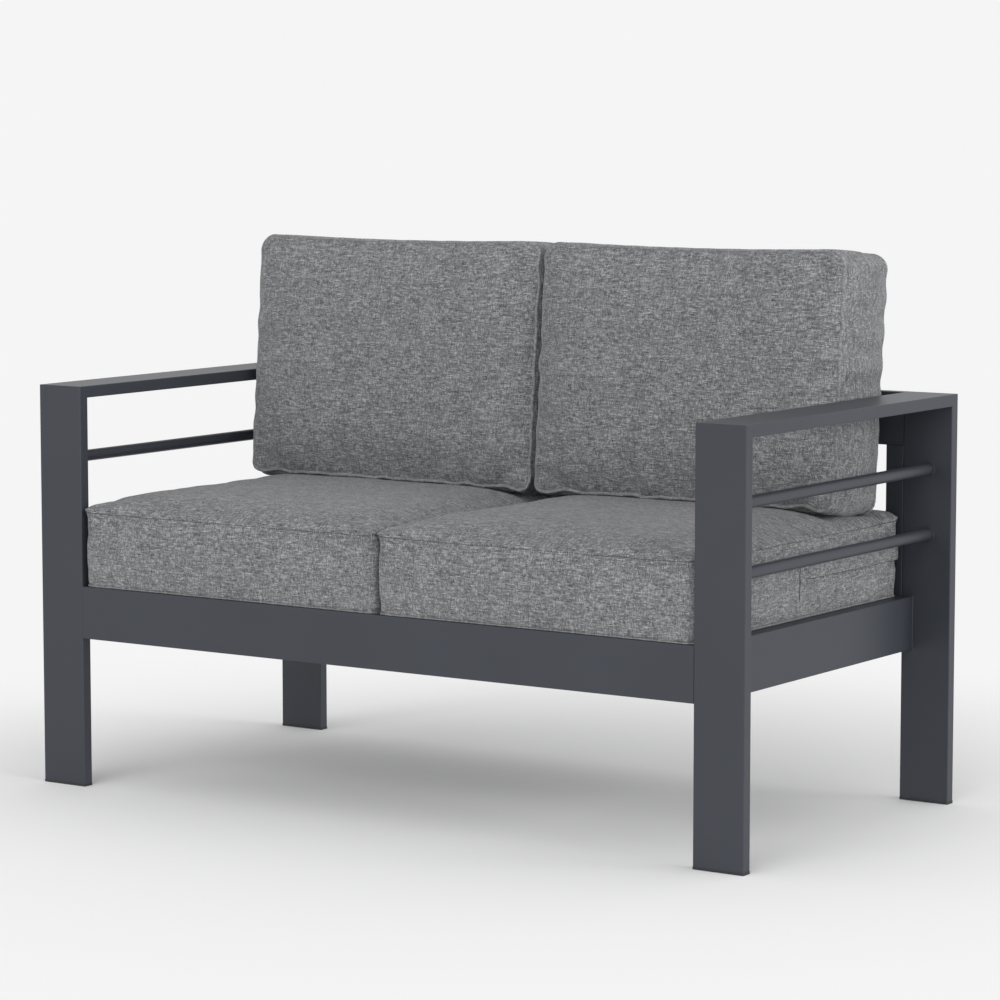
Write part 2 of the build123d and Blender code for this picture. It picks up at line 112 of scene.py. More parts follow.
class Shader:
    """A material's node tree, built with a few short calls."""

    def __init__(self, name: str) -> None:
        """Start a material with one Principled surface.

        Args:
            name: the material's name.
        """
        self.material = bpy.data.materials.new(name)
        self.material.use_nodes = True
        self.tree = self.material.node_tree
        self.surface = self.tree.nodes["Principled BSDF"]

    def add(self, kind: str, settings: dict | None = None, **inputs: object) -> bpy.types.Node:
        """Add a node, set its properties and fill its inputs.

        Args:
            kind: the node's type name.
            settings: property names and values.
            **inputs: input names, with spaces as underscores, and the value or socket for each.

        Returns:
            The new node.
        """
        node = self.tree.nodes.new(kind)
        for name, value in (settings or {}).items():
            setattr(node, name, value)
        for name, value in inputs.items():
            self.fill(node.inputs[name.replace("_", " ")], value)
        return node

    def fill(self, target: Socket, value: object) -> None:
        """Link a socket into an input, or set the input to a value.

        Args:
            target: the input.
            value: a socket, a number or a tuple.
        """
        if isinstance(value, Socket):
            self.tree.links.new(value, target)
        else:
            target.default_value = value

    def math(self, operation: str, *values: object) -> Socket:
        """Join numbers with an operation.

        Args:
            operation: the operation's name.
            *values: the numbers or sockets that it takes.

        Returns:
            The result's socket.
        """
        node = self.add("ShaderNodeMath", {"operation": operation})
        for target, value in zip(node.inputs, values):
            self.fill(target, value)
        return node.outputs[0]

    def times(self, first: object, second: object) -> Socket:
        """The product of two numbers or sockets."""
        return self.math("MULTIPLY", first, second)

    def total(self, *parts: object) -> Socket:
        """Add up numbers or sockets, from the first to the last.

        Args:
            *parts: what is added up.

        Returns:
            The sum's socket.
        """
        result, *others = parts
        for part in others:
            result = self.math("ADD", result, part)
        return result

    def place(self) -> Socket:
        """Coordinates on the object, in metres."""
        return self.add("ShaderNodeTexCoord").outputs["Object"]

    def noise(self, place: object, scale: float, detail: float = 2.0) -> Socket:
        """A noise texture's value, from 0 to 1."""
        return self.add("ShaderNodeTexNoise", Vector=place, Scale=scale, Detail=detail).outputs["Fac"]

    def ramp(self, share: object, stops: Sequence[tuple[float, Colour]]) -> Socket:
        """Turn a value into a colour between stops.

        Args:
            share: the value's socket.
            stops: pairs of a position and a colour, in rising order.

        Returns:
            The colour's socket.
        """
        node = self.add("ShaderNodeValToRGB", Fac=share)
        elements = node.color_ramp.elements
        while len(elements) < len(stops):
            elements.new(0.5)
        for element, (position, colour) in zip(elements, stops):
            element.position = position
            element.color = (*colour, 1)
        return node.outputs["Color"]

    def shaded(self, share: object, colour: Colour, low: float, high: float, margin: float) -> Socket:
        """Vary a colour between a darker and a lighter tone of itself.

        Args:
            share: the value's socket.
            colour: the colour.
            low: the darker tone's share of it.
            high: the lighter tone's share of it.
            margin: how far inside 0 and 1 the tones are full.

        Returns:
            The colour's socket.
        """
        dark, light = (tuple(part * level for part in colour) for level in (low, high))
        return self.ramp(share, [(margin, dark), (1 - margin, light)])

    def relief(self, height: object, distance: float, strength: float, under: object = None) -> Socket:
        """Raise the surface by a height.

        Args:
            height: the height's socket, from 0 to 1.
            distance: how high a height of 1 is.
            strength: how strongly it shows.
            under: the normal of a relief that this one lies on.

        Returns:
            The normal's socket.
        """
        node = self.add("ShaderNodeBump", Height=height, Distance=distance, Strength=strength)
        if under is not None:
            self.fill(node.inputs["Normal"], under)
        return node.outputs["Normal"]

    def dress(self, **inputs: object) -> bpy.types.Material:
        """Fill the surface's inputs.

        Args:
            **inputs: input names, with spaces as underscores, and the value or socket for each.

        Returns:
            The finished material.
        """
        for name, value in inputs.items():
            self.fill(self.surface.inputs[name.replace("_", " ")], value)
        return self.material


@dataclass(frozen=True)
class PowderCoat:
    """Charcoal powder coat: even, slightly rippled, with a low sheen."""

    colour: Colour = (0.034, 0.038, 0.048)
    shade_share: float = 0.06
    shade_margin: float = 0.3
    cloud: float = 250 * MM
    cloud_detail: float = 3.0
    grain: float = 0.9 * MM
    grain_depth: float = 0.05 * MM
    grain_strength: float = 0.35
    ripple: float = 6 * MM
    ripple_detail: float = 1.0
    ripple_depth: float = 0.12 * MM
    ripple_strength: float = 0.25
    roughness: float = 0.43
    roughness_spread: float = 0.1
    specular: float = 0.35

    def material(self) -> bpy.types.Material:
        """Build the finish's material."""
        shader = Shader("powder_coat")
        place = shader.place()
        cloud = shader.noise(place, 1 / self.cloud, self.cloud_detail)
        grain = shader.noise(place, 1 / self.grain)
        ripple = shader.noise(place, 1 / self.ripple, self.ripple_detail)
        low, high = 1 - self.shade_share, 1 + self.shade_share
        tone = shader.shaded(cloud, self.colour, low, high, self.shade_margin)
        least = self.roughness - self.roughness_spread / 2
        gloss = shader.math("MULTIPLY_ADD", grain, self.roughness_spread, least)
        normal = shader.relief(grain, self.grain_depth, self.grain_strength)
        normal = shader.relief(ripple, self.ripple_depth, self.ripple_strength, normal)
        return shader.dress(Base_Color=tone, Roughness=gloss, Normal=normal, Specular_IOR_Level=self.specular)


@dataclass(frozen=True)
class GrainedFinish:
    """A plain finish with a fine grain in its tone and relief: plastic, plate, enamel or thread."""

    name: str
    colour: Colour
    roughness: float
    scale: float
    detail: float = 2.0
    metallic: float = 0.0
    dark_share: float = 0.85
    light_share: float = 1.2
    shade_margin: float = 0.35
    depth: float = 0.08 * MM
    strength: float = 0.4

    def material(self) -> bpy.types.Material:
        """Build the finish's material."""
        shader = Shader(self.name)
        grain = shader.noise(shader.place(), self.scale, self.detail)
        tone = shader.shaded(grain, self.colour, self.dark_share, self.light_share, self.shade_margin)
        normal = shader.relief(grain, self.depth, self.strength)
        return shader.dress(Base_Color=tone, Roughness=self.roughness, Metallic=self.metallic, Normal=normal)


@dataclass(frozen=True)
class HeatheredWeave:
    """Plain woven grey cloth of slubbed threads, dark and light, that run both ways."""

    name: str
    dark: Colour
    middle: Colour
    light: Colour
    thread: float = 1.6 * MM
    thread_stride: float = 7.31
    warp_slub: float = 6 * MM
    weft_slub: float = 11 * MM
    dash_length: float = 30 * MM
    fleck_length: float = 3.2 * MM
    spread: float = 0.22
    over_share: float = 0.55
    weft_share: float = 0.62
    dash_share: float = 0.1
    dash_level: float = 0.68
    fleck_share: float = 0.55
    cloud_share: float = 0.06
    cloud_scale: float = 22.0
    cloud_detail: float = 3.0
    relief: float = 0.25 * MM
    relief_strength: float = 0.6
    roughness: float = 0.92
    sheen: float = 0.12
    sheen_roughness: float = 0.5
    specular: float = 0.2
    seeds: tuple[float, ...] = (0.5, 4.5, 2.5, 6.5, 9.5)

    def strands(self, shader: Shader, number: object, along: object, length: float, seed: float) -> Socket:
        """Tone of each thread of one direction, which changes slowly along it.

        Args:
            shader: the material in hand.
            number: which thread a point lies on.
            along: how far along the thread it lies.
            length: how long a slub is.
            seed: shifts the pattern.

        Returns:
            The tone's socket, from 0 to 1.
        """
        place = shader.add("ShaderNodeCombineXYZ", Z=seed)
        shader.fill(place.inputs["X"], shader.times(number, self.thread_stride))
        shader.fill(place.inputs["Y"], shader.math("DIVIDE", along, length))
        return shader.noise(place.outputs[0], 1.0)

    def tone(self, shader: Shader, place: Socket, x: Socket, y: Socket) -> Socket:
        """Tone of the cloth: its threads, flecks, dashes and clouds together.

        Args:
            shader: the material in hand.
            place: the place on the cloth.
            x: the part of the place along the weft.
            y: the part of the place along the warp.

        Returns:
            The tone's socket.
        """
        warp_seed, weft_seed, row_seed, column_seed, dash_seed = self.seeds
        column, row = (shader.math("FLOOR", shader.math("DIVIDE", run, self.thread)) for run in (x, y))
        warp = self.strands(shader, column, y, self.warp_slub, warp_seed)
        weft = self.strands(shader, row, x, self.weft_slub, weft_seed)
        over = shader.math("FLOORED_MODULO", shader.total(column, row), 2.0)
        shown = shader.total(shader.times(shader.math("SUBTRACT", weft, warp), over), warp)
        under_share = 1 - self.over_share
        tone = shader.total(
            shader.times(warp, under_share * (1 - self.weft_share)),
            shader.times(weft, under_share * self.weft_share),
            shader.times(shown, self.over_share),
        )
        for number, along, seed, share in (
            (row, x, row_seed, self.weft_share),
            (column, y, column_seed, 1 - self.weft_share),
        ):
            flecks = self.strands(shader, number, along, self.fleck_length, seed)
            tone = shader.total(tone, shader.times(flecks, self.fleck_share * share))
        dashes = self.strands(shader, row, x, self.dash_length, dash_seed)
        dashes = shader.times(shader.math("GREATER_THAN", dashes, self.dash_level), self.dash_share)
        cloud = shader.times(shader.noise(place, self.cloud_scale, self.cloud_detail), self.cloud_share)
        return shader.total(tone, shader.total(dashes, cloud))

    def material(self) -> bpy.types.Material:
        """Build the finish's material on the piece's own cloth map, in metres."""
        shader = Shader(self.name)
        place = shader.add("ShaderNodeUVMap", {"uv_map": "cloth"}).outputs["UV"]
        x, y, _ = shader.add("ShaderNodeSeparateXYZ", Vector=place).outputs
        tone = self.tone(shader, place, x, y)
        mean = 0.5 + (self.cloud_share + self.fleck_share) / 2
        low, high = mean - self.spread, mean + self.spread
        share = shader.add("ShaderNodeMapRange", Value=tone, From_Min=low, From_Max=high)
        stops = ((0.0, self.dark), (0.5, self.middle), (1.0, self.light))
        colour = shader.ramp(share.outputs["Result"], stops)
        turns = math.pi / self.thread
        rows, columns = (shader.math("SINE", shader.times(run, turns)) for run in (x, y))
        weave = shader.math("ABSOLUTE", shader.times(rows, columns))
        normal = shader.relief(shader.total(weave, tone), self.relief, self.relief_strength)
        return shader.dress(
            Base_Color=colour, Roughness=self.roughness, Normal=normal, Sheen_Weight=self.sheen,
            Sheen_Roughness=self.sheen_roughness, Specular_IOR_Level=self.specular,
        )


@dataclass(frozen=True)
class Finishes:
    """Every finish of the loveseat, each with its material built once."""

    coat: bpy.types.Material
    foot: bpy.types.Material
    steel: bpy.types.Material
    cover: bpy.types.Material
    piping: bpy.types.Material
    thread: bpy.types.Material
    # Near-black thread laid in the seat's top seam and pleat as painted shade of their creases.
    seam_thread: bpy.types.Material
    tape: bpy.types.Material
    slider: bpy.types.Material

    @classmethod
    def build(cls) -> Finishes:
        """Build all the materials."""
        plastic = GrainedFinish(
            "moulded_plastic", (0.012, 0.013, 0.015), roughness=0.55, scale=1 / (0.6 * MM)
        )
        tape = replace(
            plastic, name="zip_tape", colour=(0.09, 0.09, 0.095), roughness=0.8, scale=1 / (0.8 * MM)
        )
        plate = GrainedFinish(
            "plated_steel", (0.55, 0.56, 0.58), roughness=0.35, scale=300.0, detail=3.0, metallic=1.0,
            dark_share=0.8, light_share=1.0, shade_margin=0.3, depth=0.03 * MM, strength=0.3,
        )
        thread = GrainedFinish(
            "flap_thread", (0.2, 0.2, 0.21), roughness=0.7, scale=2500.0, detail=1.0,
            dark_share=0.75, light_share=1.0, depth=0.1 * MM, strength=0.5,
        )
        cover = HeatheredWeave(
            "cover_weave", (0.05, 0.052, 0.055), (0.158, 0.161, 0.166), (0.36, 0.364, 0.37)
        )
        piping = HeatheredWeave(
            "piping_weave", (0.09, 0.092, 0.095), (0.19, 0.193, 0.198), (0.36, 0.363, 0.367), weft_slub=5 * MM
        )
        return cls(
            coat=PowderCoat().material(),
            foot=plastic.material(),
            steel=plate.material(),
            cover=cover.material(),
            piping=piping.material(),
            thread=thread.material(),
            # Near-black thread: painted shade for the creases of the seat's top seam and pleat.
            seam_thread=replace(thread, name="seam_thread", colour=(0.035, 0.035, 0.037)).material(),
            tape=tape.material(),
            slider=replace(plate, name="enamelled_zinc", colour=(0.03, 0.03, 0.033), metallic=0.6).material(),
        )


def link_piece(name: str, mesh: bpy.types.Mesh, material: bpy.types.Material) -> bpy.types.Object:
    """Put a mesh in the scene as a piece of one material.

    Args:
        name: the piece's name.
        mesh: its mesh, in place.
        material: its material.

    Returns:
        The new object, at the origin.
    """
    piece = bpy.data.objects.new(name, mesh)
    bpy.context.scene.collection.objects.link(piece)
    mesh.materials.clear()
    mesh.materials.append(material)
    return piece


def path_mesh(name: str, lines: Sequence[np.ndarray], closed: bool) -> bpy.types.Mesh:
    """Make a mesh of edges alone, one chain for each line of points.

    Args:
        name: the mesh's name.
        lines: arrays of points.
        closed: whether each line comes back to its start.

    Returns:
        The mesh.
    """
    points, edges = [], []
    for line in lines:
        start = len(points)
        points.extend(tuple(point) for point in line)
        edges.extend((start + n, start + n + 1) for n in range(len(line) - 1))
        if closed:
            edges.append((start + len(line) - 1, start))
    mesh = bpy.data.meshes.new(name)
    mesh.from_pydata(points, edges, [])
    return mesh


class PathTree:
    """A Geometry Nodes tree that turns a path of edges into cords, beads or stitches."""

    def __init__(self, name: str, sizes: Sequence[str]) -> None:
        """Start a tree with a path, a material and named sizes as inputs.

        Args:
            name: the tree's name.
            sizes: names of its size inputs.
        """
        self.tree = bpy.data.node_groups.new(name, "GeometryNodeTree")
        face = self.tree.interface
        face.new_socket("Path", in_out="INPUT", socket_type="NodeSocketGeometry")
        for size in sizes:
            face.new_socket(size, in_out="INPUT", socket_type="NodeSocketFloat")
        face.new_socket("Finish", in_out="INPUT", socket_type="NodeSocketMaterial")
        face.new_socket("Piece", in_out="OUTPUT", socket_type="NodeSocketGeometry")
        self.inputs = self.tree.nodes.new("NodeGroupInput").outputs
        self.output = self.tree.nodes.new("NodeGroupOutput").inputs[0]

    def add(self, kind: str, links: dict, settings: dict | None = None) -> bpy.types.Node:
        """Add a node and fill its inputs.

        Args:
            kind: the node's type name.
            links: input names or numbers, and the socket or value for each.
            settings: property names and values.

        Returns:
            The new node.
        """
        node = self.tree.nodes.new(kind)
        for name, value in (settings or {}).items():
            setattr(node, name, value)
        for name, value in links.items():
            if isinstance(value, Socket):
                self.tree.links.new(value, node.inputs[name])
            else:
                node.inputs[name].default_value = value
        return node

    def evenly(self, curve: Socket, step: Socket) -> bpy.types.Node:
        """Set a curve's points evenly.

        Args:
            curve: the curve.
            step: how far apart its points come to lie.

        Returns:
            The node that does it.
        """
        even = self.tree.nodes.new("GeometryNodeResampleCurve")
        even.mode = "LENGTH"
        self.tree.links.new(curve, even.inputs["Curve"])
        self.tree.links.new(step, next(socket for socket in even.inputs if socket.identifier == "Length"))
        return even

    def close(self, geometry: Socket) -> None:
        """Realize, smooth and paint the geometry and send it to the output.

        Args:
            geometry: what the tree has made.
        """
        real = self.add("GeometryNodeRealizeInstances", {"Geometry": geometry})
        smooth = self.add("GeometryNodeSetShadeSmooth", {"Geometry": real.outputs[0]})
        paint = {"Geometry": smooth.outputs[0], "Material": self.inputs["Finish"]}
        self.tree.links.new(self.add("GeometryNodeSetMaterial", paint).outputs[0], self.output)

    def run(
        self, name: str, path: bpy.types.Mesh, finish: bpy.types.Material, **sizes: float
    ) -> bpy.types.Object:
        """Run the tree on a path and keep the result as a plain mesh.

        Args:
            name: the piece's name.
            path: a mesh of edges.
            finish: the piece's material.
            **sizes: the tree's size inputs, with spaces as underscores.

        Returns:
            The finished piece.
        """
        piece = link_piece(name, path, finish)
        modifier = piece.modifiers.new("made_along", "NODES")
        modifier.node_group = self.tree
        values = {size.replace("_", " "): value for size, value in sizes.items()} | {"Finish": finish}
        for socket in self.tree.interface.items_tree:
            if socket.in_out == "INPUT" and socket.name in values:
                modifier[socket.identifier] = values[socket.name]
        bpy.context.view_layer.update()
        evaluated = piece.evaluated_get(bpy.context.evaluated_depsgraph_get())
        made = bpy.data.meshes.new_from_object(evaluated)
        piece.modifiers.clear()
        piece.data = made
        return piece


class CordTree(PathTree):
    """A tube along the path, with a cloth map of metres along and round it."""

    facets = 10

    def __init__(self) -> None:
        """Build the tree."""
        super().__init__("cord_along_path", ("Diameter", "Step"))
        radius = self.add("ShaderNodeMath", {0: self.inputs["Diameter"], 1: 0.5}, {"operation": "MULTIPLY"})
        curve = self.add("GeometryNodeMeshToCurve", {"Mesh": self.inputs["Path"]})
        even = self.evenly(curve.outputs[0], self.inputs["Step"])
        run = self.add("GeometryNodeSplineParameter", {})
        kept = self.add("GeometryNodeCaptureAttribute", {"Geometry": even.outputs[0]})
        kept.capture_items.new("FLOAT", "Run")
        self.tree.links.new(run.outputs["Length"], kept.inputs[1])
        sizes = {"Resolution": self.facets, "Radius": radius.outputs[0]}
        ring = self.add("GeometryNodeCurvePrimitiveCircle", sizes)
        turn = self.add("GeometryNodeSplineParameter", {})
        kept_ring = self.add("GeometryNodeCaptureAttribute", {"Geometry": ring.outputs[0]})
        kept_ring.capture_items.new("FLOAT", "Turn")
        self.tree.links.new(turn.outputs["Length"], kept_ring.inputs[1])
        tube = self.add(
            "GeometryNodeCurveToMesh",
            {"Curve": kept.outputs[0], "Profile Curve": kept_ring.outputs[0], "Fill Caps": True},
        )
        place = self.add("ShaderNodeCombineXYZ", {0: kept.outputs[1], 1: kept_ring.outputs[1]})
        stored = self.add(
            "GeometryNodeStoreNamedAttribute",
            {"Geometry": tube.outputs[0], "Name": "cloth", "Value": place.outputs[0]},
            {"data_type": "FLOAT2", "domain": "CORNER"},
        )
        self.close(stored.outputs[0])

    def lay(
        self, name: str, loops: Sequence[np.ndarray], finish: bpy.types.Material, diameter: float, step: float
    ) -> bpy.types.Object:
        """Lay a cord round closed loops of points.

        Args:
            name: the piece's name.
            loops: arrays of points.
            finish: the piece's material.
            diameter: the cord's diameter.
            step: how far apart its rings of points lie.

        Returns:
            The finished piece.
        """
        path = path_mesh(f"{name}_path", loops, closed=True)
        return self.run(name, path, finish, Diameter=diameter, Step=step)


@dataclass(frozen=True)
class Drop:
    """One drop of a weld bead, or one stitch, and the pitch at which they follow each other."""

    width: float
    length: float
    height: float
    pitch: float


class BeadTree(PathTree):
    """Flat drops along the path, as a weld bead where they overlap or as a row of stitches."""

    facets = (8, 5)

    def __init__(self) -> None:
        """Build the tree."""
        super().__init__("drops_along_path", ("Width", "Length", "Height", "Pitch"))
        curve = self.add("GeometryNodeMeshToCurve", {"Mesh": self.inputs["Path"]})
        even = self.evenly(curve.outputs[0], self.inputs["Pitch"])
        segments, rings = self.facets
        drop = self.add("GeometryNodeMeshUVSphere", {"Segments": segments, "Rings": rings, "Radius": 0.5})
        tangent = self.add("GeometryNodeInputTangent", {})
        turned = self.add("FunctionNodeAlignRotationToVector", {"Vector": tangent.outputs[0]}, {"axis": "X"})
        sides = {number: self.inputs[side] for number, side in enumerate(("Length", "Width", "Height"))}
        size = self.add("ShaderNodeCombineXYZ", sides)
        row = self.add(
            "GeometryNodeInstanceOnPoints",
            {
                "Points": even.outputs[0],
                "Instance": drop.outputs[0],
                "Rotation": turned.outputs[0],
                "Scale": size.outputs[0],
            },
        )
        self.close(row.outputs[0])

    def lay(
        self, name: str, lines: Sequence[np.ndarray], finish: bpy.types.Material, drop: Drop
    ) -> bpy.types.Object:
        """Lay drops along open lines of points.

        Args:
            name: the piece's name.
            lines: arrays of points.
            finish: the piece's material.
            drop: the size and pitch of the drops.

        Returns:
            The finished piece.
        """
        path = path_mesh(f"{name}_path", lines, closed=False)
        sizes = {"Width": drop.width, "Length": drop.length, "Height": drop.height, "Pitch": drop.pitch}
        return self.run(name, path, finish, **sizes)


@dataclass(frozen=True)
class Stance:
    """Places on the frame that the cushions and the welds are set from."""

    front: float
    arm_height: float
    deck: float
    arm_inner: float
    span_front: float
    span_rear: float
    tube_width: float
    tube_thickness: float

    @classmethod
    def read(cls) -> Stance:
        """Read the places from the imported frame."""
        leg_low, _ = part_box("right_front_leg")
        rail_low, rail_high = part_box("right_side_rail")
        _, arm_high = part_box("right_armrest")
        return cls(
            front=leg_low.y,
            arm_height=arm_high.z,
            deck=rail_high.z,
            arm_inner=rail_low.x,
            span_front=rail_low.y,
            span_rear=rail_high.y,
            tube_width=rail_high.z - rail_low.z,
            tube_thickness=rail_high.x - rail_low.x,
        )


@dataclass
class Crown:
    """How a panel rises over its seam: a quick roll at the edge and a slow dome over the middle."""

    dome: float
    dome_reach: float
    roll: float = 0.0
    roll_reach: float = 20 * MM

    def rise(self, insets: Sequence[np.ndarray]) -> np.ndarray:
        """Height over the seam at points of a panel.

        Args:
            insets: how far inside the panel's ends the points lie, and how far inside its sides.

        Returns:
            The heights.
        """
        total = 0.0
        for height, reach in ((self.dome, self.dome_reach), (self.roll, self.roll_reach)):
            total = total + height * eased(insets[0] / reach) * eased(insets[1] / reach)
        return total


@dataclass
class StuffedForm:
    """A boxed cushion in its own plane: two crowned panels of cloth joined by a boxing strip.

    The plane's first axis is X and its second is up the panel. Its normal points from the low panel, which is
    underneath or at the rear, to the high panel, which is on top or in front.
    """

    name: str
    way: int
    middle: Vector
    up: Vector
    normal: Vector
    half_x: float
    half_y: float
    corner: float
    boxing: float
    low: Crown
    high: Crown
    draws: tuple[float, float, float]
    seam_lift: float
    wavy: tuple[bool, bool]
    gather: float
    pucker: float
    pucker_pitch: float
    swell: float
    seed: int
    cell: float = 8 * MM
    dent: float = 1.6 * MM
    dent_reach: float = 60 * MM
    low_corner: float | None = None
    taut_share: float = 0.0
    ear: float = 0.0
    ear_out: float = 0.0
    lip: float = 0.0
    tuck_in: float = 50 * MM
    tuck_lift: float = 0.0
    tuck_depth: float = 0.0
    tuck_half: float = 16 * MM
    tuck_height: float = 20 * MM
    dimple_half: float = 18 * MM
    ear_power: int = 12
    droop_power: int = 6
    outer_droop_share: float = 0.5
    lift_share: float = 0.6
    fade_cells: float = 5.0
    fold_cells: float = 2.5
    lip_share: float = 0.1
    crease: float = 0.9
    wave_count: int = 6
    wave_turns: tuple[float, float] = (0.55, 1.5)
    wave_heights: tuple[float, float] = (0.5, 1.0)
    wave_phase: float = 6.28
    dent_count: int = 9
    dent_lengths: tuple[float, float] = (0.1, 0.22)

    def layout(self) -> None:
        """Lay out the panel's grid, its outline and the distances that drive waves and crowns."""
        self.count_x = round(2 * self.half_x / self.cell)
        self.count_y = round(2 * self.half_y / self.cell)
        self.rows = round(self.boxing / self.cell)
        self.levels = np.arange(self.rows + 1) / self.rows * self.boxing
        grid_x, grid_y = np.meshgrid(
            np.linspace(-self.half_x, self.half_x, self.count_x + 1),
            np.linspace(-self.half_y, self.half_y, self.count_y + 1),
            indexing="ij",
        )
        self.flat = np.stack([grid_x.ravel(), grid_y.ravel()], 1)
        corner = np.where(grid_y < 0, self.low_corner or self.corner, self.corner)
        out_x = np.clip((np.abs(grid_x) - self.half_x + corner) / corner, 0, 1)
        out_y = np.clip((np.abs(grid_y) - self.half_y + corner) / corner, 0, 1)
        round_x = out_x * np.sqrt(1 - out_y**2 / 2)
        round_y = out_y * np.sqrt(1 - out_x**2 / 2)
        x = np.sign(grid_x) * (np.minimum(np.abs(grid_x), self.half_x - corner) + corner * round_x)
        y = np.sign(grid_y) * (np.minimum(np.abs(grid_y), self.half_y - corner) + corner * round_y)
        draw_low, draw_high, draw_side = self.draws
        share_x, share_y = x / self.half_x, y / self.half_y
        bow_x, bow_y = 1 - share_x**2, 1 - share_y**2
        outer = self.way * share_x > 0
        droop = np.where(outer, self.outer_droop_share, 1.0) * np.abs(share_x) ** self.droop_power
        low_quarter = np.clip(-2 * share_y - 1, 0, 1)
        self.lift = (self.seam_lift * (1 - droop) * low_quarter**2).ravel()
        y = y * (1 - np.where(y < 0, draw_low, draw_high) * bow_x / self.half_y)
        x = x * (1 - draw_side * bow_y / self.half_x)
        self.plan = np.stack([x.ravel(), y.ravel()], 1)
        self.set_ring()

    def set_ring(self) -> None:
        """Find the outline of the panel, anticlockwise, with its run and its outward way at each point."""
        last_x, last_y = self.count_x, self.count_y
        ring = [(i, 0) for i in range(last_x)] + [(last_x, j) for j in range(last_y)]
        ring += [(i, last_y) for i in range(last_x, 0, -1)] + [(0, j) for j in range(last_y, 0, -1)]
        self.ring = np.array([i * (last_y + 1) + j for i, j in ring])
        edge = self.plan[self.ring]
        steps = np.linalg.norm(np.roll(edge, -1, 0) - edge, axis=1)
        self.run = np.concatenate([[0], np.cumsum(steps)[:-1]])
        self.girth = float(steps.sum())
        ahead = np.roll(edge, -1, 0) - np.roll(edge, 1, 0)
        ahead /= np.linalg.norm(ahead, axis=1)[:, None]
        self.outward = np.stack([ahead[:, 1], -ahead[:, 0]], 1)
        self.freedom = 1 - self.taut_share * np.clip(self.outward[:, 1], 0, 1)
        gaps = np.linalg.norm(self.plan[:, None, :] - edge[None, :, :], axis=2)
        self.near = gaps.argmin(1)
        self.inset = gaps.min(1)
        count = len(self.flat)
        size = len(ring)
        strips = [2 * count + row * size + np.arange(size) for row in range(self.rows - 1)]
        self.lines = [self.ring, *strips, self.ring + count]
        self.offsets = np.zeros((self.rows + 1, len(ring)))
        self.fixed = np.zeros((self.rows + 1, len(ring)), bool)
        self.fixed[0] = self.fixed[-1] = True
        self.pleat = np.zeros(0, int)

    def wave(self, number: int) -> np.ndarray:
        """A smooth uneven wave round the outline.

        Args:
            number: which wave, so that each is its own.

        Returns:
            Values from -1 to 1, one for each point of the outline.
        """
        draw = np.random.default_rng(self.seed * 10 + number)
        mean = self.girth / self.pucker_pitch
        total = np.zeros(len(self.ring))
        for _ in range(self.wave_count):
            turns = round(mean * draw.uniform(*self.wave_turns))
            height, phase = draw.uniform(*self.wave_heights), draw.uniform(0, self.wave_phase)
            total += height * np.sin(2 * math.pi * turns * self.run / self.girth + phase)
        return total / np.abs(total).max()

    def dents(self, number: int) -> np.ndarray:
        """Broad, shallow dents of a panel where the fill is uneven.

        Args:
            number: 0 for the low panel and 1 for the high one.

        Returns:
            The dents' heights, one for each point of the panel.
        """
        draw = np.random.default_rng(self.seed * 100 + number)
        total = np.zeros(len(self.flat))
        for _ in range(self.dent_count):
            turn, size = draw.uniform(0, 2 * math.pi), 2 * math.pi / draw.uniform(*self.dent_lengths)
            along = self.flat @ np.array([math.cos(turn), math.sin(turn)])
            total += np.sin(size * along + draw.uniform(0, 2 * math.pi))
        return self.dent * total / np.abs(total).max()

    def panel(self, number: int, crown: Crown) -> np.ndarray:
        """Points of one panel in the cushion's own axes, with its gathers and puckers.

        Args:
            number: 0 for the low panel and 1 for the high one.
            crown: how it rises.

        Returns:
            An array of points.
        """
        level, way = number * self.boxing, 2 * number - 1
        across, along = np.abs(self.flat.T)
        rise = crown.rise([self.half_x - across, self.half_y - along])
        if not self.wavy[number]:
            return np.column_stack([self.plan, level + way * rise])
        pull = self.gather * (0.5 + 0.5 * self.wave(number)) * self.freedom
        lift = self.lift_share * self.gather * self.wave(number + 2)
        fold = self.pucker * self.wave(number + 4)
        fade = hump(self.inset, self.fade_cells * self.cell)
        x_y = self.plan - self.outward[self.near] * (pull[self.near] * fade)[:, None]
        x_y[:, 1] += self.lift * number
        depth = self.inset / (self.fold_cells * self.cell)
        folds = fold[self.near] * depth * np.exp(1 - depth)
        corners = (across / self.half_x) * (along / self.half_y)
        x_y += self.outward[self.near] * (self.ear_out * corners ** (2 * self.ear_power))[:, None]
        z = level + lift[self.near] * fade + self.ear * corners**self.ear_power
        above = self.flat[:, 1] + self.half_y
        tuck = number * hump(across - self.half_x + self.tuck_in, self.tuck_half)
        x_y[:, 1] += self.tuck_lift * tuck * hump(above, self.tuck_height)
        dimples = self.tuck_depth * tuck * hump(above - self.tuck_height, self.dimple_half)
        dents = self.dents(number) * np.tanh(self.inset / self.dent_reach)
        return np.column_stack([x_y, z + way * (rise + folds + dents - dimples)])

    def hold(self, rows: tuple[float, float], points: np.ndarray, depth: np.ndarray | float) -> None:
        """Hold part of the boxing at a depth, as under a flap or beside a zipper.

        Args:
            rows: the lowest and highest level of the part.
            points: which points of the outline.
            depth: how far inside the outline it stays.
        """
        low, high = rows
        chosen = ((self.levels > low) & (self.levels < high))[:, None] & points[None, :]
        self.fixed |= chosen
        self.offsets = np.where(chosen, -np.broadcast_to(depth, chosen.shape), self.offsets)

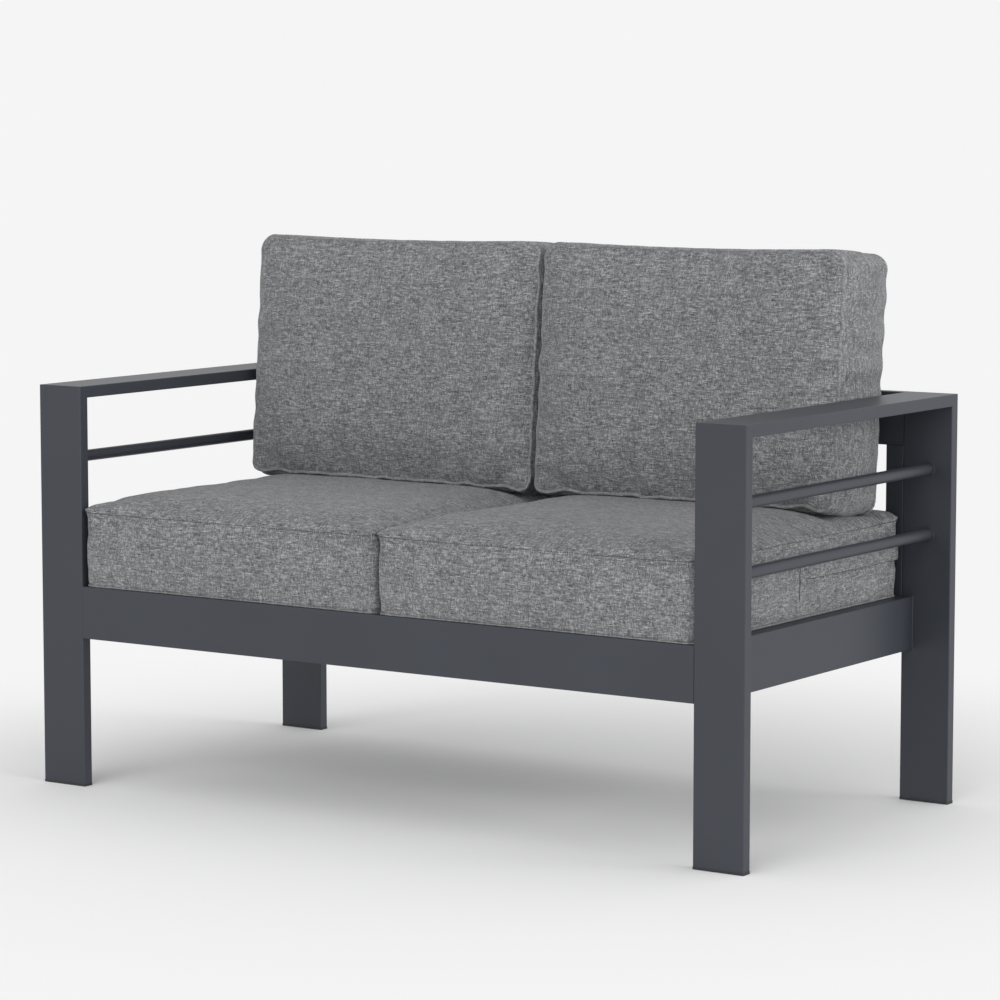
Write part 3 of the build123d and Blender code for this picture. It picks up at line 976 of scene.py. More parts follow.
    def build(self) -> None:
        """Build the resting points, faces and cloth map."""
        low, high = self.panel(0, self.low), self.panel(1, self.high)
        ring, count = self.ring, len(self.flat)
        lip = self.lip * self.outward
        high[ring, :2] += lip
        fold = self.pucker * self.wave(6)
        strips = []
        for row in range(1, self.rows):
            share = row / self.rows
            strip = low[ring] * (1 - share) + high[ring] * share
            turn = min(max((share - (1 - self.lip_share)) / self.lip_share, 0), 1)
            strip[:, :2] = low[ring, :2] + (high[ring, :2] - lip - low[ring, :2]) * turn
            bulge = 4 * share * (1 - share)
            free = (self.swell + 0.5 * fold) * bulge * self.freedom
            strip[:, :2] += self.outward * np.where(self.fixed[row], self.offsets[row], free)[:, None]
            strips.append(strip)
        self.local = np.concatenate([low, high, *strips])
        self.loops = {"low": ring, "high": ring + count, "pleat": self.pleat}
        self.set_faces()

    def set_faces(self) -> None:
        """List the faces of both panels and the boxing, and their places on the cloth in metres."""
        count, step = len(self.flat), self.count_y + 1
        faces, places = [], []
        for i in range(self.count_x):
            for j in range(self.count_y):
                a = i * step + j
                square = (a, a + step, a + step + 1, a + 1)
                faces.append(tuple(count + n for n in square))
                places.extend(self.flat[n] for n in square)
                faces.append(tuple(reversed(square)))
                places.extend(self.flat[n] for n in reversed(square))
        runs = np.append(self.run, self.girth)
        for row in range(self.rows):
            below, above = self.lines[row], self.lines[row + 1]
            low, high = self.levels[row], self.levels[row + 1]
            for n in range(len(self.ring)):
                after = (n + 1) % len(self.ring)
                faces.append((below[n], below[after], above[after], above[n]))
                places.extend([(runs[n], low), (runs[n + 1], low), (runs[n + 1], high), (runs[n], high)])
        self.faces, self.places = faces, np.array(places)

    def axes(self) -> np.ndarray:
        """The cushion's three axes as rows."""
        return np.array([(1, 0, 0), self.up, self.normal], float)

    def place(self, local: np.ndarray) -> np.ndarray:
        """Turn points in the cushion's own axes into points in the frame."""
        return np.array(self.middle) + local @ self.axes()

    def mesh(self) -> bpy.types.Mesh:
        """Make the mesh of the cover, with its cloth map in metres and a crease at each seam."""
        mesh = bpy.data.meshes.new(self.name)
        mesh.from_pydata(self.place(self.local).tolist(), [], self.faces)
        cloth = mesh.uv_layers.new(name="cloth")
        cloth.data.foreach_set("uv", self.places.astype(np.float32).ravel())
        mesh.polygons.foreach_set("use_smooth", np.ones(len(mesh.polygons), bool))
        ends = np.zeros(2 * len(mesh.edges), int)
        mesh.edges.foreach_get("vertices", ends)
        ends = ends.reshape(-1, 2)
        creased = np.zeros(len(mesh.edges))
        for loop in self.loops.values():
            creased[np.isin(ends, loop).all(1)] = self.crease
        crease = mesh.attributes.new("crease_edge", "FLOAT", "EDGE")
        crease.data.foreach_set("value", creased.astype(np.float32))
        return mesh


@dataclass
class Stuffing:
    """Presses the fill against the covers with cloth simulation, all cushions in one run."""

    pressure: float = 4.0
    frames: int = 20
    slack_share: float = 0.02
    tension: float = 12.0
    bending: float = 0.6
    quality: int = 5
    mass: float = 0.3
    air_damping: float = 4.0

    def start(self, piece: bpy.types.Object, held: dict[float, np.ndarray]) -> None:
        """Give a cover its Cloth.

        Args:
            piece: the cover.
            held: shares from 0 to 1 of how firmly points are held, and which points.
        """
        group = piece.vertex_groups.new(name="held")
        for share, points in held.items():
            group.add([int(n) for n in points], share, "REPLACE")
        cloth = piece.modifiers.new("stuffing", "CLOTH")
        cloth.settings.quality = self.quality
        cloth.settings.mass = self.mass
        cloth.settings.tension_stiffness = self.tension
        cloth.settings.compression_stiffness = self.tension
        cloth.settings.shear_stiffness = self.tension / 2
        cloth.settings.bending_stiffness = self.bending
        cloth.settings.air_damping = self.air_damping
        cloth.settings.use_pressure = True
        cloth.settings.uniform_pressure_force = self.pressure
        cloth.settings.effector_weights.gravity = 0
        cloth.settings.vertex_group_mass = "held"
        cloth.settings.shrink_min = -self.slack_share
        cloth.collision_settings.use_collision = False
        cloth.point_cache.frame_start = 1
        cloth.point_cache.frame_end = self.frames

    def run(self, pieces: Sequence[bpy.types.Object]) -> list[np.ndarray]:
        """Step through the frames and read where every point ends.

        Args:
            pieces: the covers.

        Returns:
            An array of points for each cover.
        """
        for frame in range(1, self.frames + 1):
            bpy.context.scene.frame_set(frame)
        graph = bpy.context.evaluated_depsgraph_get()
        ends = []
        for piece in pieces:
            shaped = piece.evaluated_get(graph).data
            points = np.zeros(3 * len(shaped.vertices))
            shaped.vertices.foreach_get("co", points)
            ends.append(points.reshape(-1, 3))
        for piece in pieces:
            piece.modifiers.clear()
            piece.vertex_groups.clear()
        bpy.context.scene.frame_set(1)
        return ends


def soften(moved: np.ndarray, cap: np.ndarray) -> np.ndarray:
    """Limit how far points move, gently.

    Args:
        moved: the way that each point moves.
        cap: how far each may move at most.

    Returns:
        The limited moves.
    """
    never_zero = 1e-9
    length = np.linalg.norm(moved, axis=1)[:, None] + never_zero
    return moved * (cap * np.tanh(length / cap) / length)


def sheet_mesh(name: str, rows: Sequence[np.ndarray], places: Sequence[np.ndarray]) -> bpy.types.Mesh:
    """Make a smooth sheet of cloth through rows of points, with its cloth map.

    Args:
        name: the mesh's name.
        rows: the points of each row, from the top row down.
        places: where on the cloth each point lies, in metres.

    Returns:
        The mesh.
    """
    count, faces = len(rows[0]), []
    for row in range(len(rows) - 1):
        for n in range(count - 1):
            below, above = (row + 1) * count + n, row * count + n
            faces.append((below, below + 1, above + 1, above))
    mesh = bpy.data.meshes.new(name)
    mesh.from_pydata(np.concatenate(rows).tolist(), [], faces)
    cloth = np.concatenate(places)[np.array(faces)].astype(np.float32)
    mesh.uv_layers.new(name="cloth").data.foreach_set("uv", cloth.ravel())
    mesh.polygons.foreach_set("use_smooth", np.ones(len(mesh.polygons), bool))
    return mesh


def smooth_cloth(piece: bpy.types.Object) -> None:
    """Round a piece of cloth off by one level of subdivision."""
    smooth = piece.modifiers.new("smooth_cloth", "SUBSURF")
    smooth.levels = smooth.render_levels = 1


@dataclass
class Cushion:
    """What seat and back cushions share: a stuffed cover on a body of its own, and how the two meet."""

    side: str
    way: int
    stance: Stance
    finishes: Finishes
    split_gap: float = 0.8 * MM
    split_shift: float = 4.8 * MM
    sway: float = -2.9 * MM
    side_gap: float = 10.5 * MM
    rest_gap: float = 0.3 * MM
    lean: float = math.radians(4.8)
    standoff: float = 67 * MM
    back_boxing: float = 130 * MM
    back_zip_setback: float = 18 * MM

    @property
    def inner(self) -> float:
        """Place of the cover's inner end, counted outwards from the middle of the seat."""
        return self.split_gap / 2 + self.way * self.split_shift

    @property
    def outer(self) -> float:
        """Place of the cover's outer end, counted the same way."""
        return self.stance.arm_inner - self.side_gap + self.spread + self.way * self.sway

    @property
    def length(self) -> float:
        """Length of the cover along X."""
        return self.outer - self.inner

    @property
    def centre(self) -> float:
        """Middle of the cover along X."""
        return self.way * (self.inner + self.outer) / 2

    @property
    def back_zip(self) -> float:
        """How far in front of a back cushion's rear seam its zipper runs."""
        return self.back_boxing - self.back_zip_setback

    def dress(self, piece: bpy.types.Object, slot: Slot) -> None:
        """Make a piece ride on the cushion's body.

        Args:
            piece: the piece.
            slot: not used.
        """
        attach(piece, self.body)
        log.info("%s has %d points", piece.name, len(piece.data.vertices))

    def beside(
        self, points: np.ndarray, out: object, level: float = 0.0, chosen: object = slice(None)
    ) -> np.ndarray:
        """Points beside the outline.

        Args:
            points: points of the frame, one for each chosen point of the outline.
            out: how far outwards.
            level: how far along the cushion's normal.
            chosen: which points of the outline.

        Returns:
            An array of points in the frame.
        """
        outward = self.form.outward[chosen]
        away = np.column_stack([outward, np.zeros(len(outward))]) * np.reshape(out, (-1, 1))
        return points + (away + np.array([0, 0, level])) @ self.form.axes()

    def seam(self, loop: str) -> np.ndarray:
        """Points of a seam of the finished cover."""
        return self.points[self.form.loops[loop]]

    def cover(self) -> bpy.types.Object:
        """Build the resting cover as a piece."""
        self.form.build()
        self.points = self.form.place(self.form.local)
        self.piece = link_piece(self.form.name, self.form.mesh(), self.finishes.cover)
        return self.piece

    def held(self) -> dict[float, np.ndarray]:
        """How firmly the simulation holds the cover: wholly at the seams and where the boxing is held."""
        fixed = [line[self.form.fixed[row]] for row, line in enumerate(self.form.lines)]
        return {1.0: np.concatenate(fixed)}

    def caps(self) -> np.ndarray:
        """How far the simulation may move each point, with less where the boxing is taut."""
        caps = np.full(len(self.points), self.cap)
        for line in self.form.lines[1:-1]:
            caps[line] *= self.form.freedom
        return caps[:, None]

    def settle(self, ends: np.ndarray | None) -> None:
        """Take the simulated points, capped and clear of the neighbours, and finish the cover.

        Args:
            ends: where the points ended, or None when the simulation is skipped.
        """
        if ends is not None:
            self.points = self.points + soften(ends - self.points, self.caps())
        self.points = self.clear(self.points)
        self.piece.data.vertices.foreach_set("co", self.points.astype(np.float32).ravel())
        self.piece.data.update()
        smooth_cloth(self.piece)
        self.dress(self.piece, Slot.COVER)
        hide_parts(f"{self.body}_cover", f"{self.body}_core")


@dataclass
class SeatCushion(Cushion):
    """A seat cushion: flat on the deck, domed on top, plain seams, with a flap over its zipper."""

    setback: float = 3 * MM
    rear_gap: float = 8 * MM
    boxing: float = 115 * MM
    edge: float = 4 * MM
    seam_rise: float = 2.2 * MM
    flat_crown: float = 12 * MM
    flat_reach: float = 200 * MM
    crown: Crown = field(default_factory=lambda: Crown(15 * MM, 170 * MM, 7.5 * MM, 15 * MM))
    corner: float = 16 * MM
    split_gap: float = 3 * MM
    split_shift: float = 5.5 * MM
    sway: float = -0.25 * MM
    draw_in: float = 2 * MM
    spread: float = 8.25 * MM
    cap: float = 6 * MM
    fill: float = 0.85
    arm_gap: float = 0.5 * MM
    front_ease: float = 2 * MM
    ear_room: float = 4 * MM
    rear_puff_share: float = 0.35
    puff_start: float = 4 * MM
    puff_reach: float = 14 * MM
    puff_room: float = 6 * MM
    foot_roll: float = 7 * MM
    foot_roll_reach: float = 12 * MM
    foot_room: float = 2 * MM
    far_above: float = 1.0
    slider_room: float = 5 * MM
    slider_half: float = 18 * MM
    slider_slope: float = 8 * MM
    zip_rise: float = 66 * MM
    zip_start: float = 10 * MM
    tape_depth: float = 1.5 * MM
    recess_half: float = 10 * MM
    pleat_ahead: float = 13 * MM
    pleat_depth: float = 1.3 * MM
    pleat_foot: float = 20 * MM
    pleat_top: float = 8 * MM
    # Three overlapping lines of dark thread down the pleat: painted shade of its crease.
    pleat_shade_shifts: tuple[float, ...] = (-0.7 * MM, 0.0, 0.7 * MM)
    pleat_proud: float = 0.4 * MM
    # Dark thread along the top seam: painted shade of the seam's crease, and its stitch size.
    seam_proud: float = 0.45 * MM
    seam_drop_share: float = 0.45
    seam_sink_reach: float = 150 * MM
    crease_shade_stitch: Drop = Drop(1 * MM, 3.6 * MM, 1.2 * MM, 4 * MM)
    welt: float = 2.4 * MM
    welt_sunk: float = 0.2 * MM
    welt_step: float = 6 * MM
    flap_hold: tuple[float, float] = (22 * MM, 24 * MM)
    flap_inset: float = 18 * MM
    flap_wave: float = 0.6 * MM
    flap_wave_number: int = 7
    flap_taper: float = 40 * MM
    flap_proud: float = 0.4 * MM
    flap_cloth: float = 1.2 * MM
    flap_still_rows: int = 2
    flap_stitch: Drop = Drop(0.8 * MM, 3 * MM, 0.7 * MM, 3.8 * MM)
    # The flap's rows from the top down: how far out each lies and how high over the zipper, in millimetres.
    flap_rows: tuple[tuple[float, float], ...] = (
        (0.2, 18), (2.4, 18.3), (4.8, 14), (5.7, 5), (5.8, -4), (5.3, -13),
    )
    # The flap's lines of stitches: name, the row that each follows, how far below it, and how far out.
    flap_seams: tuple[tuple[str, int, float, float], ...] = (
        ("top", 1, 4 * MM, 2.2 * MM),
        ("hem", 5, -4 * MM, 0.2 * MM),
    )

    def __post_init__(self) -> None:
        """Work out the cushion's form from the frame."""
        self.body = f"seat_cushion_{self.side}"
        self.front = self.stance.front + self.setback
        self.rear = self.stance.span_rear - self.rear_gap
        self.seam_height = self.stance.deck + self.rest_gap + self.edge
        self.middle_y = (self.front + self.rear) / 2
        self.back_foot = self.stance.span_rear - self.standoff
        low_seam = self.stance.deck + self.rest_gap + self.seam_rise
        self.form = StuffedForm(
            name=f"seat_cover_{self.side}",
            way=self.way,
            middle=Vector((self.centre, self.middle_y, low_seam)),
            up=Vector((0, 1, 0)),
            normal=Vector((0, 0, 1)),
            half_x=self.length / 2,
            half_y=(self.rear - self.front) / 2,
            corner=self.corner,
            boxing=self.seam_height + self.boxing - low_seam,
            low=Crown(self.seam_rise, self.edge),
            high=self.crown,
            draws=(self.draw_in, 0.0, self.draw_in),
            seam_lift=0.0,
            wavy=(False, True),
            gather=0.9 * MM,
            pucker=0.8 * MM,
            pucker_pitch=95 * MM,
            swell=2.0 * MM,
            dent=1 * MM,
            dent_reach=110 * MM,
            ear=3 * MM,
            ear_out=6 * MM,
            lip=1 * MM,
            seed=3 + self.way,
        )
        self.form.layout()
        self.hold_flap()

    def hold_flap(self) -> None:
        """Hold the boxing under the flap and at the top seam, recess it for the zipper and set the pleat."""
        form = self.form
        edge = form.plan[form.ring]
        outer, rear = self.way * edge[:, 0], edge[:, 1]
        self.flap_points = (outer > -(self.length / 2 - self.flap_inset)) & (rear >= self.zip_start)
        level = self.seam_height + self.zip_rise - form.middle.z
        self.zip_level = level
        depth = self.tape_depth + self.spread * np.clip(self.way * form.outward[:, 0], 0, 1)
        under, over = self.flap_hold
        form.hold((level - under, level + over), self.flap_points, 0.0)
        form.fixed[-2] = True
        recess = self.flap_points & (rear >= self.zip_start + self.flap_taper / 2)
        form.hold((level - self.recess_half, level + self.recess_half), recess, depth)
        column = (outer > 0) & (np.abs(form.outward[:, 0]) > FACING)
        place = int(np.argmin(np.where(column, np.abs(rear - self.zip_start + self.pleat_ahead), 1.0)))
        along = (form.levels > self.pleat_foot) & (form.levels < level + self.pleat_top)
        rows = [line for line, chosen in zip(form.lines, along) if chosen]
        form.pleat = np.array([line[place] for line in rows])
        self.pleat_sides = np.array([(line[place - 1], line[place + 1]) for line in rows])

    @property
    def rest_height(self) -> float:
        """Height at which the back cushions rest."""
        share = (self.rear - self.back_foot) / self.flat_reach
        return self.seam_height + self.boxing + self.flat_crown * eased(share) + self.rest_gap

    def pressed_at(self, points: np.ndarray) -> np.ndarray:
        """Height of the top where the back cushions press it flat."""
        insets = [np.maximum(self.length / 2 - np.abs(points[:, 0] - self.centre), 0)]
        insets.append((self.rear - self.front) / 2 - np.abs(points[:, 1] - self.middle_y))
        return self.seam_height + self.boxing + Crown(self.flat_crown, self.flat_reach).rise(insets)

    def underside_at(self, points: np.ndarray) -> np.ndarray:
        """Height of the back cushions' underside, and far above it in front of them.

        Args:
            points: points of the top of the seat cushion.

        Returns:
            The heights.
        """
        depth = (self.back_foot - points[:, 1]) / math.cos(self.lean)
        plane = self.rest_height + np.maximum(depth, 0) * math.sin(self.lean) - self.rest_gap
        roll = np.clip((depth - self.back_boxing + self.foot_roll_reach) / self.foot_roll_reach, 0, 1)
        groove = np.clip((self.slider_half - np.abs(depth - self.back_zip)) / self.slider_slope, 0, 1)
        ahead = depth > self.back_boxing + self.foot_room
        free = np.where(ahead, self.far_above, 0.0) + self.puff_room * self.behind(points)
        return plane + self.foot_roll * roll - self.slider_room * groove + free

    def behind(self, points: np.ndarray) -> np.ndarray:
        """Share from 0 to 1 by which points lie behind the back cushions, where the top may puff up."""
        return np.clip((points[:, 1] - self.back_foot - self.puff_start) / self.puff_reach, 0, 1)

    def held(self) -> dict[float, np.ndarray]:
        """How firmly the simulation holds the cover: also wholly underneath."""
        return {1.0: np.concatenate([np.arange(len(self.form.flat)), super().held()[1.0]])}

    def clear(self, points: np.ndarray) -> np.ndarray:
        """Keep the cover off the deck, the other cushion, the arms and the back cushion, and pinch its pleat.

        Args:
            points: the cover's points, which are changed.

        Returns:
            The same points.
        """
        outer = self.stance.arm_inner - self.arm_gap
        points[:, 0] = self.way * np.clip(self.way * points[:, 0], self.inner, outer)
        points[:, 1] = np.clip(points[:, 1], self.stance.front - self.front_ease, self.rear + self.ear_room)
        points[:, 2] = np.maximum(points[:, 2], self.stance.deck + self.rest_gap)
        pinch = np.array([self.way * self.pleat_depth, 0, 0])
        points[self.form.pleat] = points[self.pleat_sides].mean(1) - pinch
        rise = np.maximum(points[:, 2] - (self.seam_height + self.boxing), 0)
        points[:, 2] += self.rear_puff_share * self.behind(points) * rise
        points[:, 2] = np.minimum(points[:, 2], self.underside_at(points))
        return points

    def add_flap(self, thread: BeadTree) -> None:
        """Hang the flap over the zipper and stitch its top edge and its hem.

        Args:
            thread: lays the stitches.
        """
        form, hung = self.form, self.flap_points
        start = int(np.argmax(hung & ~np.roll(hung, 1)))
        chosen = (start + np.arange(int(hung.sum()))) % len(form.ring)
        edge = form.plan[form.ring[chosen]]
        run = np.concatenate([[0], np.cumsum(np.linalg.norm(np.diff(edge, axis=0), axis=1))])
        to_end = run if self.way > 0 else run[-1] - run
        taper = np.clip(to_end / self.flap_taper, 0, 1)
        taper = taper**2 * (3 - 2 * taper)
        wave = form.wave(self.flap_wave_number)[chosen]
        base = form.place(np.column_stack([edge, np.full(len(chosen), self.zip_level)]))
        waving_rows = len(self.flap_rows) - 1 - self.flap_still_rows
        rows, places = [], []
        for row, (out, level) in enumerate(self.flap_rows):
            hem = wave * self.flap_wave * max(row - self.flap_still_rows, 0) / waving_rows
            away = self.flap_proud + (out * MM - self.flap_proud + hem) * taper
            rows.append(self.beside(base, away, level * MM, chosen))
            places.append(np.column_stack([run, np.full(len(run), level * MM)]))
        name = f"seat_flap_{self.side}"
        piece = link_piece(name, sheet_mesh(name, rows, places), self.finishes.cover)
        wall = piece.modifiers.new("cloth_thickness", "SOLIDIFY")
        wall.thickness = self.flap_cloth
        wall.offset = -1
        smooth_cloth(piece)
        self.dress(piece, Slot.COVER)
        for edge_name, row, drop, out in self.flap_seams:
            line = self.beside(rows[row] - np.array([0, 0, drop]), out, 0.0, chosen)
            name = f"flap_{edge_name}_stitches_{self.side}"
            self.dress(thread.lay(name, [line[1:-1]], self.finishes.thread, self.flap_stitch), Slot.COVER)

    def add_seams(self, cord: CordTree, thread: BeadTree) -> None:
        """Lay dark thread as painted shade in the top seam and pleat, and the welt along the bottom seam.

        Args:
            cord: lays the welt.
            thread: lays the stitches.
        """
        form = self.form
        line = self.beside(self.seam("low"), -self.welt_sunk)
        line[:, 2] = self.stance.deck + self.rest_gap + self.welt / 2
        line[:, 0] = self.way * np.maximum(self.way * line[:, 0], self.inner + self.welt / 2)
        welt = cord.lay(f"seat_welt_{self.side}", [line], self.finishes.piping, self.welt, self.welt_step)
        self.dress(welt, Slot.COVER)
        # The pleat's lines and the top seam's line get near-black thread as painted shade of the creases.
        pleat, out = self.points[form.pleat], self.way * self.pleat_proud
        upright = [pleat + np.array([out, shift, 2 * shift]) for shift in self.pleat_shade_shifts]
        below = self.points[form.lines[-2]]
        top = self.seam("high") * (1 - self.seam_drop_share) + below * self.seam_drop_share
        from_corner = (np.array([form.half_x, form.half_y]) - np.abs(form.plan[form.ring])).max(1)
        top = self.beside(top, self.seam_proud * (1 - np.clip(from_corner / self.seam_sink_reach, 0, 1)))
        lines = [np.concatenate([top, top[:1]]), *upright]
        name = f"seat_seam_stitches_{self.side}"
        self.dress(thread.lay(name, lines, self.finishes.seam_thread, self.crease_shade_stitch), Slot.COVER)


@dataclass
class BackCushion(Cushion):
    """A back cushion: it leans on the top rail, fuller at the rear, with piping round both panels."""

    seat: SeatCushion | None = None
    height: float = 395 * MM
    front_crown: Crown = field(default_factory=lambda: Crown(20 * MM, 165 * MM, 5 * MM, 24 * MM))
    rear_reach: float = 150 * MM
    rear_roll: float = 6 * MM
    rear_roll_reach: float = 24 * MM
    corner: float = 29 * MM
    draw_in: float = 1 * MM
    low_corner: float = 27 * MM
    spread: float = 3.6 * MM
    top_spread: float = 7.5 * MM
    top_draw: float = 5 * MM
    seam_lift: float = 9 * MM
    arm_gap: float = 2 * MM
    split_room: float = 0.4 * MM
    rail_room: float = 3 * MM
    piping: float = 5.6 * MM
    piping_step: float = 4 * MM
    piping_proud: float = 0.8 * MM
    piping_sunk: float = 1.6 * MM
    piping_turn: float = 0.4
    seam_inset: float = 2 * MM
    cap: float = 9 * MM
    fill: float = 0.75
    tape_depth: float = 1.6 * MM
    zip_hold: tuple[float, float] = (11 * MM, 6 * MM)

    def __post_init__(self) -> None:
        """Work out the cushion's form from the frame and the seat under it."""
        self.body = f"back_cushion_{self.side}"
        foot, rest = self.seat.back_foot, self.seat.rest_height
        reach_back = self.standoff - (self.stance.arm_height - rest) * math.tan(self.lean) - self.rest_gap
        dome = reach_back * math.cos(self.lean) - self.rear_roll
        up = Vector((0, math.sin(self.lean), math.cos(self.lean)))
        base = Vector((self.centre, foot, rest))
        self.form = StuffedForm(
            name=f"back_cover_{self.side}",
            way=self.way,
            middle=base + up * (self.height + self.top_spread) / 2,
            up=up,
            normal=Vector((0, -math.cos(self.lean), math.sin(self.lean))),
            half_x=self.length / 2 - self.seam_inset,
            half_y=(self.height + self.top_spread) / 2 - self.seam_inset,
            corner=self.corner,
            low_corner=self.low_corner,
            boxing=self.back_boxing,
            low=Crown(dome, self.rear_reach, self.rear_roll, self.rear_roll_reach),
            high=self.front_crown,
            draws=(0.0, self.top_draw, self.draw_in),
            seam_lift=self.seam_lift,
            wavy=(True, True),
            gather=3.8 * MM,
            pucker=2.6 * MM,
            pucker_pitch=58 * MM,
            swell=4.0 * MM,
            taut_share=0.8,
            tuck_lift=3.5 * MM,
            tuck_depth=6 * MM,
            seed=11 + self.way,
        )
        self.form.layout()
        edge = self.form.plan[self.form.ring]
        under = (self.form.outward[:, 1] < -FACING) & (np.abs(edge[:, 0]) < self.length / 2 - self.corner)
        behind, ahead = self.zip_hold
        self.form.hold((self.back_zip - behind, self.back_zip + ahead), under, self.tape_depth)

    def clear(self, points: np.ndarray) -> np.ndarray:
        """Keep the cover off the top rail, the arms, the other cushion and the seat.

        Args:
            points: the cover's points, which are changed.

        Returns:
            The same points.
        """
        inner, outer = self.inner + self.split_room, self.stance.arm_inner - self.arm_gap
        points[:, 0] = self.way * np.clip(self.way * points[:, 0], inner, outer)
        beside_rail = points[:, 2] < self.stance.arm_height + self.rail_room
        limit = self.stance.span_rear - self.rest_gap
        points[:, 1] = np.where(beside_rail, np.minimum(points[:, 1], limit), points[:, 1])
        points[:, 2] = np.maximum(points[:, 2], self.seat.pressed_at(points) + self.rest_gap)
        return points

    def add_piping(self, cord: CordTree) -> None:
        """Run the piping round both panels: proud of the underside, and sunk into the seams elsewhere.

        Args:
            cord: lays the piping.
        """
        loops = []
        under = np.clip(-2 * self.form.outward[:, 1] - self.piping_turn, 0, 1)
        rise = self.piping_proud * under - self.piping_sunk * (1 - under)
        for loop in ("low", "high"):
            line = self.beside(self.seam(loop), rise)
            line[:, 0] = self.way * np.maximum(self.way * line[:, 0], self.inner + self.piping / 2)
            floor = self.seat.pressed_at(line) + self.piping / 2 + self.rest_gap
            line[:, 2] = np.maximum(line[:, 2], floor)
            loops.append(line)
        piece = cord.lay(
            f"back_piping_{self.side}", loops, self.finishes.piping, self.piping, self.piping_step
        )
        self.dress(piece, Slot.PIPING)
        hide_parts(f"{self.body}_piping")


@dataclass
class Welds:
    """Weld beads of the frame, left to see where tube meets tube inside the arms and the back panel."""

    stance: Stance
    finishes: Finishes
    bar_radius: float = 9 * MM
    drop: Drop = Drop(2.8 * MM, 3.6 * MM, 2.4 * MM, 1.7 * MM)
    facets: int = 28
    bar_proud: float = 0.4 * MM
    end_proud: float = 0.3 * MM
    side_proud: float = 0.2 * MM
    margin: float = 1 * MM
    wide_margin: float = 2 * MM
    seat_slats: int = 7
    back_slats: int = 6

    def ends(self, proud: float) -> tuple[float, float]:
        """Places along Y just inside the front and the rear of the seat frame."""
        return self.stance.span_front + proud, self.stance.span_rear - proud

    def rings(self) -> list[np.ndarray]:
        """Rings round both ends of the bars of each arm."""
        turns = np.linspace(0, 2 * math.pi, self.facets + 1)
        radius = self.bar_radius + self.drop.height / 4
        lines = []
        for side, _ in SIDES:
            for place in ("lower", "upper"):
                low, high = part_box(f"{side}_{place}_bar")
                middle = (low + high) / 2
                x, z = middle.x + radius * np.cos(turns), middle.z + radius * np.sin(turns)
                for y in self.ends(self.bar_proud):
                    lines.append(np.column_stack([x, np.full(len(turns), y), z]))
        return lines

    def uprights(self) -> list[np.ndarray]:
        """Upright beads at the ends of the side rails and of the slats."""
        stance, lines = self.stance, []
        rail_foot, rail_top = stance.deck - stance.tube_width + self.margin, stance.deck - self.margin
        for _, way in SIDES:
            x = way * (stance.arm_inner + stance.tube_thickness + self.side_proud)
            for y in self.ends(self.end_proud):
                lines.append(np.array([(x, y, rail_foot), (x, y, rail_top)]))
        for number in range(1, self.seat_slats + 1):
            low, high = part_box(f"seat_slat_{number}")
            for x in (low.x - self.side_proud, high.x + self.side_proud):
                for y in self.ends(self.end_proud):
                    lines.append(np.array([(x, y, low.z + self.margin), (x, y, high.z - self.wide_margin)]))
        return lines

    def levels(self) -> list[np.ndarray]:
        """Level beads at the ends of the slats of the back panel."""
        lines = []
        for number in range(1, self.back_slats + 1):
            low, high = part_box(f"back_slat_{number}")
            front, rear = low.y + self.wide_margin, high.y - self.wide_margin
            for x in (low.x - self.side_proud, high.x + self.side_proud):
                for z in (low.z + self.end_proud, high.z - self.end_proud):
                    lines.append(np.array([(x, front, z), (x, rear, z)]))
        return lines

    def build(self, bead: BeadTree) -> None:
        """Build every bead of the frame.

        Args:
            bead: lays the beads.
        """
        beads = {"bar_end": self.rings(), "rail_and_slat": self.uprights(), "back_slat": self.levels()}
        for name, lines in beads.items():
            piece = bead.lay(f"{name}_welds", lines, self.finishes.coat, self.drop)
            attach(piece, "frame")
            log.info("%s has %d points", piece.name, len(piece.data.vertices))


@dataclass(frozen=True)
class Lamp:
    """A broad, far lamp: where it stands round the object, how high, how wide and how strong."""

    name: str
    azimuth: float
    elevation: float
    width: float
    strength: float
    away: float = 4.0

    def hang(self) -> None:
        """Hang the lamp so that it lights the object from its place."""
        data = bpy.data.lights.new(self.name, "SUN")
        data.angle = math.radians(self.width)
        data.energy = self.strength
        lamp = bpy.data.objects.new(self.name, data)
        turn, rise = math.radians(self.azimuth), math.radians(self.elevation)
        place = Vector((math.sin(turn) * math.cos(rise), -math.cos(turn) * math.cos(rise), math.sin(rise)))
        lamp.rotation_euler = (-place).to_track_quat("-Z", "Y").to_euler()
        lamp.location = place * self.away
        bpy.context.scene.collection.objects.link(lamp)


